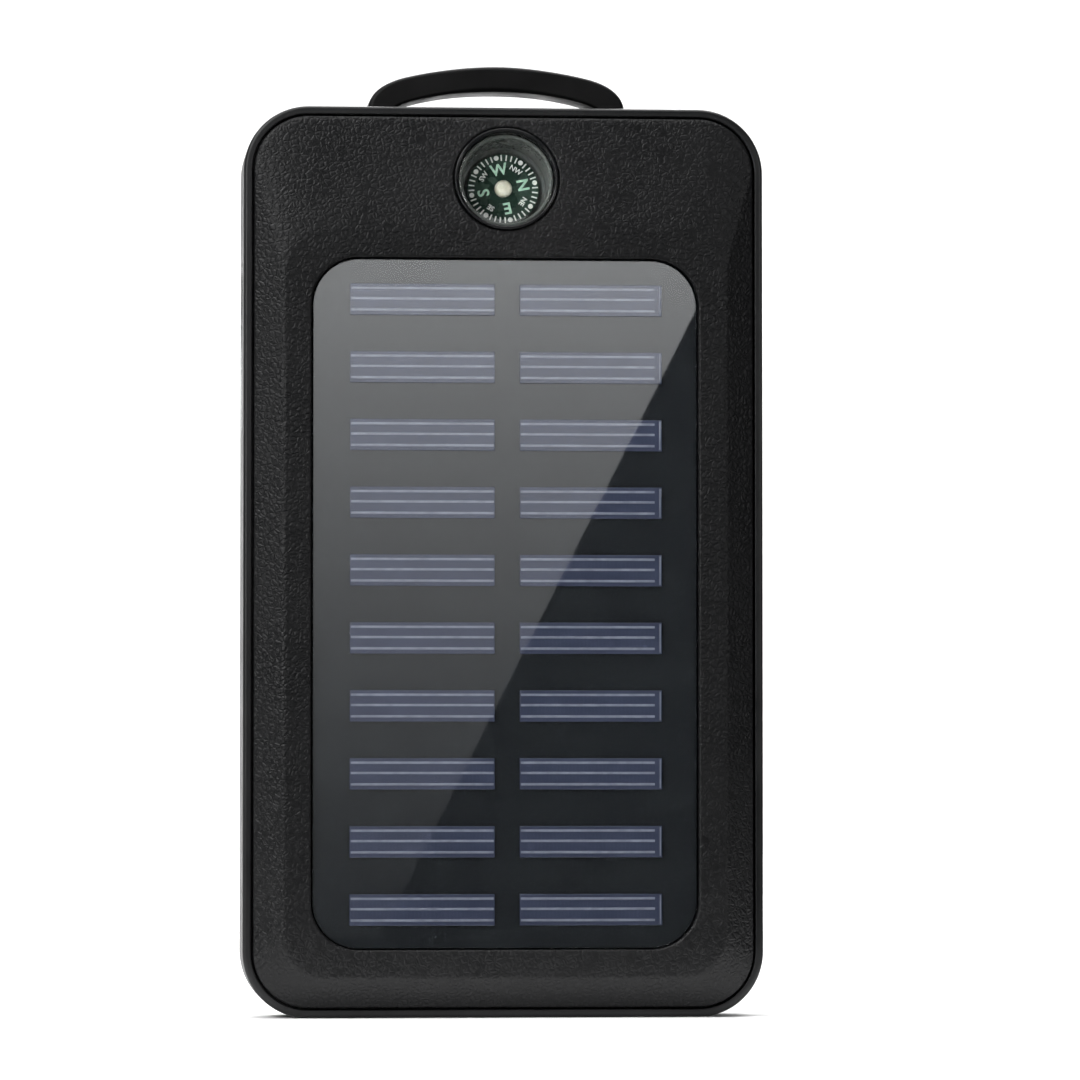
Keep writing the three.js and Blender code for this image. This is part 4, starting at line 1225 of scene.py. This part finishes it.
def inner_parts():
    finishes = [
        (SEAL_RUBBER, "perimeter_seal"),
        (DARK_STEEL, "strap_pin_left", "strap_pin_right"),
        (TAPE, "panel_tape"),
        (RED_WIRE, "panel_lead_positive", "battery_lead_positive"),
        (BLACK_WIRE, "panel_lead_negative", "battery_lead_negative"),
        (MASK_GREEN, "main_board", "protection_board"),
        (FERRITE, "power_inductor"),
        (BLACK_PLASTIC, "charge_chip", "boost_chip", "tactile_switch"),
        (TIN, "filter_capacitor"),
        (WHITE_PLASTIC, "switch_plunger"),
        (LED_RESIN, *(f"indicator_led_{n}" for n in range(1, 5))),
        (PIPE_RESIN, "indicator_light_pipe"),
        (pouch_foil(), "battery_cell_front", "battery_cell_rear"),
    ]
    for material, *nodes in finishes:
        dress(material, *nodes)
    battery_foam()


# ---------------------------------------------------------------- the studio, in metres and watts

CAMERA = {"azimuth": -4.904, "elevation": -2.293, "distance": 0.85, "lens": 195.6}
CAMERA_SHIFT = {"right": 0.005692, "up": 0.003288}
STAGE = {"reach": 4.0, "low": -1.0, "high": 5.0, "near": 0.45}  # the white wall, and where its floor starts
CARD_LEVEL = {"wall": 0.0003, "flag": 0.0005, "fade": 0.0006, "foot": 0.0008}  # above the paper
CARD_RIGHT = 0.12
GLARE = {"distance": 0.4, "low": 0.06, "high": 2.5, "power": 2.5, "foot": 0.01, "head": 0.109, "left": -0.07}
GLARE_EDGE = {"at_foot": (-0.0187, 0.010), "at_head": (0.0284, 0.1033)}  # (x, z) on the panel
FADE = {"start": -0.03, "end": -0.16, "left": -0.5, "strength": 0.5}
FOOT_CARD = {"half_width": 0.06, "front": -0.03, "back": -0.0096, "strength": 2.6}

# Name, azimuth, elevation, distance, width, height and power; the last two have
# a target of their own, and the last a spread in degrees.
LAMPS = [
    ("key_left", -55, 44, 0.9, 0.35, 0.35, 5.2),
    ("front_fill", -40, 29, 0.55, 0.25, 0.3, 0.85),
    ("low_left", -38, 6, 0.5, 0.12, 0.12, 0.62),
    ("top", 0, 80, 0.8, 0.7, 0.5, 4.5),
    ("right_top", 40, 10, 0.9, 0.12, 0.12, 1.25),
    ("back_fill", 170, 35, 1.0, 0.8, 0.6, 7),
    ("backdrop_light", 0, 60, 1.6, 2.0, 0.6, 60, (0, 1.9, 0.6)),
    ("compass_beam", -36, 14, 0.4, 0.012, 0.012, 0.0006, COMPASS.translation * MM, 4),
]


def aim(obj, target):
    obj.rotation_euler = (Vector(target) - obj.location).to_track_quat("-Z", "Y").to_euler()


def camera():
    """A long lens, almost square on to the panel."""
    azimuth, elevation = radians(CAMERA["azimuth"]), radians(CAMERA["elevation"])
    away = Vector((sin(azimuth) * cos(elevation), -cos(azimuth) * cos(elevation), sin(elevation)))
    right = (-away).cross(Vector((0, 0, 1))).normalized()
    up = right.cross(-away)
    target = Vector((0, 0, HEIGHT / 2 * MM)) + right * CAMERA_SHIFT["right"] + up * CAMERA_SHIFT["up"]
    data = bpy.data.cameras.new("camera")
    data.lens, data.sensor_width = CAMERA["lens"], 36
    obj = bpy.data.objects.new("camera", data)
    bpy.context.scene.collection.objects.link(obj)
    obj.location = target + away * CAMERA["distance"]
    aim(obj, target)
    bpy.context.scene.camera = obj
    return obj.location.copy()


def softbox(name, azimuth, elevation, distance, width, height, power, target=(0, 0, 0.066), spread=180):
    data = bpy.data.lights.new(name, "AREA")
    data.shape, data.size, data.size_y, data.energy = "RECTANGLE", width, height, power
    data.spread = radians(spread)
    obj = bpy.data.objects.new(name, data)
    bpy.context.scene.collection.objects.link(obj)
    a, e = radians(azimuth), radians(elevation)
    obj.location = Vector(target) + distance * Vector((sin(a) * cos(e), -cos(a) * cos(e), sin(e)))
    aim(obj, target)


def stage_mesh(name, points, faces, material):
    mesh = bpy.data.meshes.new(name)
    mesh.from_pydata(points, [], faces)
    mesh.materials.append(material)
    mesh.shade_smooth()
    obj = bpy.data.objects.new(name, mesh)
    bpy.context.scene.collection.objects.link(obj)
    return obj


def glowing(name, low, high, start, end, power=1.0, axis="Z"):
    """A card whose light runs from low to high along one axis."""
    look = Look(name, (0, 0, 0), 1.0)
    along = look.node("ShaderNodeSeparateXYZ", {"Vector": look.place}).outputs[axis]
    inputs = {"Value": along, "From Min": start, "From Max": end}
    inputs |= {"To Min": low ** (1 / power), "To Max": high ** (1 / power)}
    level = look.node("ShaderNodeMapRange", inputs).outputs["Result"]
    glow = look.node("ShaderNodeEmission", {"Strength": look.number("POWER", level, power)})
    return look.surface(glow.outputs["Emission"])


def only_in_reflections(obj):
    obj.visible_camera = obj.visible_diffuse = obj.visible_shadow = obj.visible_transmission = False


def glare_card(eye):
    """A soft card that the camera sees mirrored in the panel, cut off along one slanting edge."""
    front = PANEL_LOW.y * MM

    def mirrored(x, z):
        ray = Vector((x, front, z)) - eye
        ray *= GLARE["distance"] / ray.y
        return (x + ray.x, front - GLARE["distance"], z + ray.z)

    foot, head = Vector(GLARE_EDGE["at_foot"]), Vector(GLARE_EDGE["at_head"])
    low, high = foot - (head - foot) * 0.25, head + (head - foot) * 0.3
    corners = [low, high, (GLARE["left"], high.y), (GLARE["left"], low.y)]
    points = [mirrored(*corner) for corner in corners]
    start, end = (mirrored(0, GLARE[level])[2] for level in ("foot", "head"))
    material = glowing("glare", GLARE["low"], GLARE["high"], start, end, GLARE["power"])
    only_in_reflections(stage_mesh("glare_card", points, [(0, 1, 2, 3)], material))


def sweep():
    """A pale floor that curves up into a backdrop."""
    look = Look("paper", (0.86, 0.86, 0.86), 0.9, Specular_IOR_Level=0.1)
    look.colours(look.noise(60.0), (0.85, 0.85, 0.85), (0.88, 0.88, 0.88))
    look.relief(look.noise(0.8), 0.01)
    width, front, back, bend = 3.0, -3.0, 2.2, 0.5
    path = [(front, 0.0), (back - bend, 0.0)]
    path += [(back - bend + bend * sin(turn), bend * (1 - cos(turn))) for turn in quarter(12)[1:]]
    path.append((back, 3.0))
    points = [(side * width, y, z) for y, z in path for side in (-1, 1)]
    faces = [(2 * n, 2 * n + 1, 2 * n + 3, 2 * n + 2) for n in range(len(path) - 1)]
    stage_mesh("paper_sweep", points, faces, look.material)


def black_flag():
    """Keeps the front of the panel dark where no card is mirrored in it."""
    look = Look("flag", (0.0, 0.0, 0.0), 1.0, Specular_IOR_Level=0.0)
    look.relief(look.noise(3.0), 0.1)
    front, back, side, far = -1.3, 0.6, 2.2, FADE["end"]
    floor = [(-side, far), (CARD_RIGHT, far), (CARD_RIGHT, back), (side, back), (side, front), (-side, front)]
    points = [(x, y, CARD_LEVEL["flag"]) for x, y in floor]
    points += [(x, front, z) for x, z in ((-side, 1.4), (side, 1.4), (side, -0.2), (-side, -0.2))]
    faces = [tuple(range(len(floor))), tuple(range(len(floor), len(points)))]
    only_in_reflections(stage_mesh("black_flag", points, faces, look.material))


def floor_fade():
    """Eases the floor's mirror image into the black flag, so that no edge shows in the panel."""
    left, far, near = FADE["left"], FADE["end"], FADE["start"]
    corners = ((left, far), (CARD_RIGHT, far), (CARD_RIGHT, near), (left, near))
    points = [(x, y, CARD_LEVEL["fade"]) for x, y in corners]
    material = glowing("floor_fade", 0.0, FADE["strength"], far, near, 2.0, "Y")
    only_in_reflections(stage_mesh("floor_fade", points, [(0, 1, 2, 3)], material))


def foot_card():
    """A glow on the floor, which the cover's lowest slope mirrors."""
    half, front, back = (FOOT_CARD[key] for key in ("half_width", "front", "back"))
    corners = ((-half, front), (half, front), (half, back), (-half, back))
    points = [(x, y, CARD_LEVEL["foot"]) for x, y in corners]
    material = glowing("foot_card", FOOT_CARD["strength"], FOOT_CARD["strength"], 0.0, 1.0)
    only_in_reflections(stage_mesh("foot_card", points, [(0, 1, 2, 3)], material))


def surround():
    """A plain white wall and far floor round the table, which only the camera sees."""
    look = Look("white_wall", (0.8, 0.8, 0.8), 0.5, Emission_Color=(1, 1, 1, 1), Emission_Strength=1.0)
    turns = [2 * pi * step / TURN_STEPS for step in range(TURN_STEPS)]
    reach = STAGE["reach"]
    loops = [(reach, STAGE["low"]), (reach, STAGE["high"])]
    loops += [(radius, CARD_LEVEL["wall"]) for radius in (STAGE["near"], reach)]
    points = [(radius * cos(turn), radius * sin(turn), z) for radius, z in loops for turn in turns]
    faces = []
    for base in (0, 2 * TURN_STEPS):
        for i in range(TURN_STEPS):
            a, b = base + i, base + (i + 1) % TURN_STEPS
            faces.append((a, b, b + TURN_STEPS, a + TURN_STEPS))
    wall = stage_mesh("white_wall", points, faces, look.material)
    only_in_reflections(wall)
    wall.visible_glossy, wall.visible_camera = False, True


def studio():
    world = bpy.data.worlds.new("studio")
    world.use_nodes = True
    background = world.node_tree.nodes["Background"]
    background.inputs["Color"].default_value = (1, 1, 1, 1)
    background.inputs["Strength"].default_value = 0.06
    bpy.context.scene.world = world
    bpy.context.scene.view_settings.view_transform = "Standard"
    for lamp in LAMPS:
        softbox(*lamp)
    sweep()
    black_flag()
    surround()
    foot_card()
    floor_fade()
    glare_card(camera())


front_cover()
rear_shell()
rear_screws()
carry_strap()
solar_panel()
compass()
for name in USB_A:
    usb_a_socket(name)
usb_c_socket()
port_cover()
power_button()
flood_light()
inner_parts()
studio()
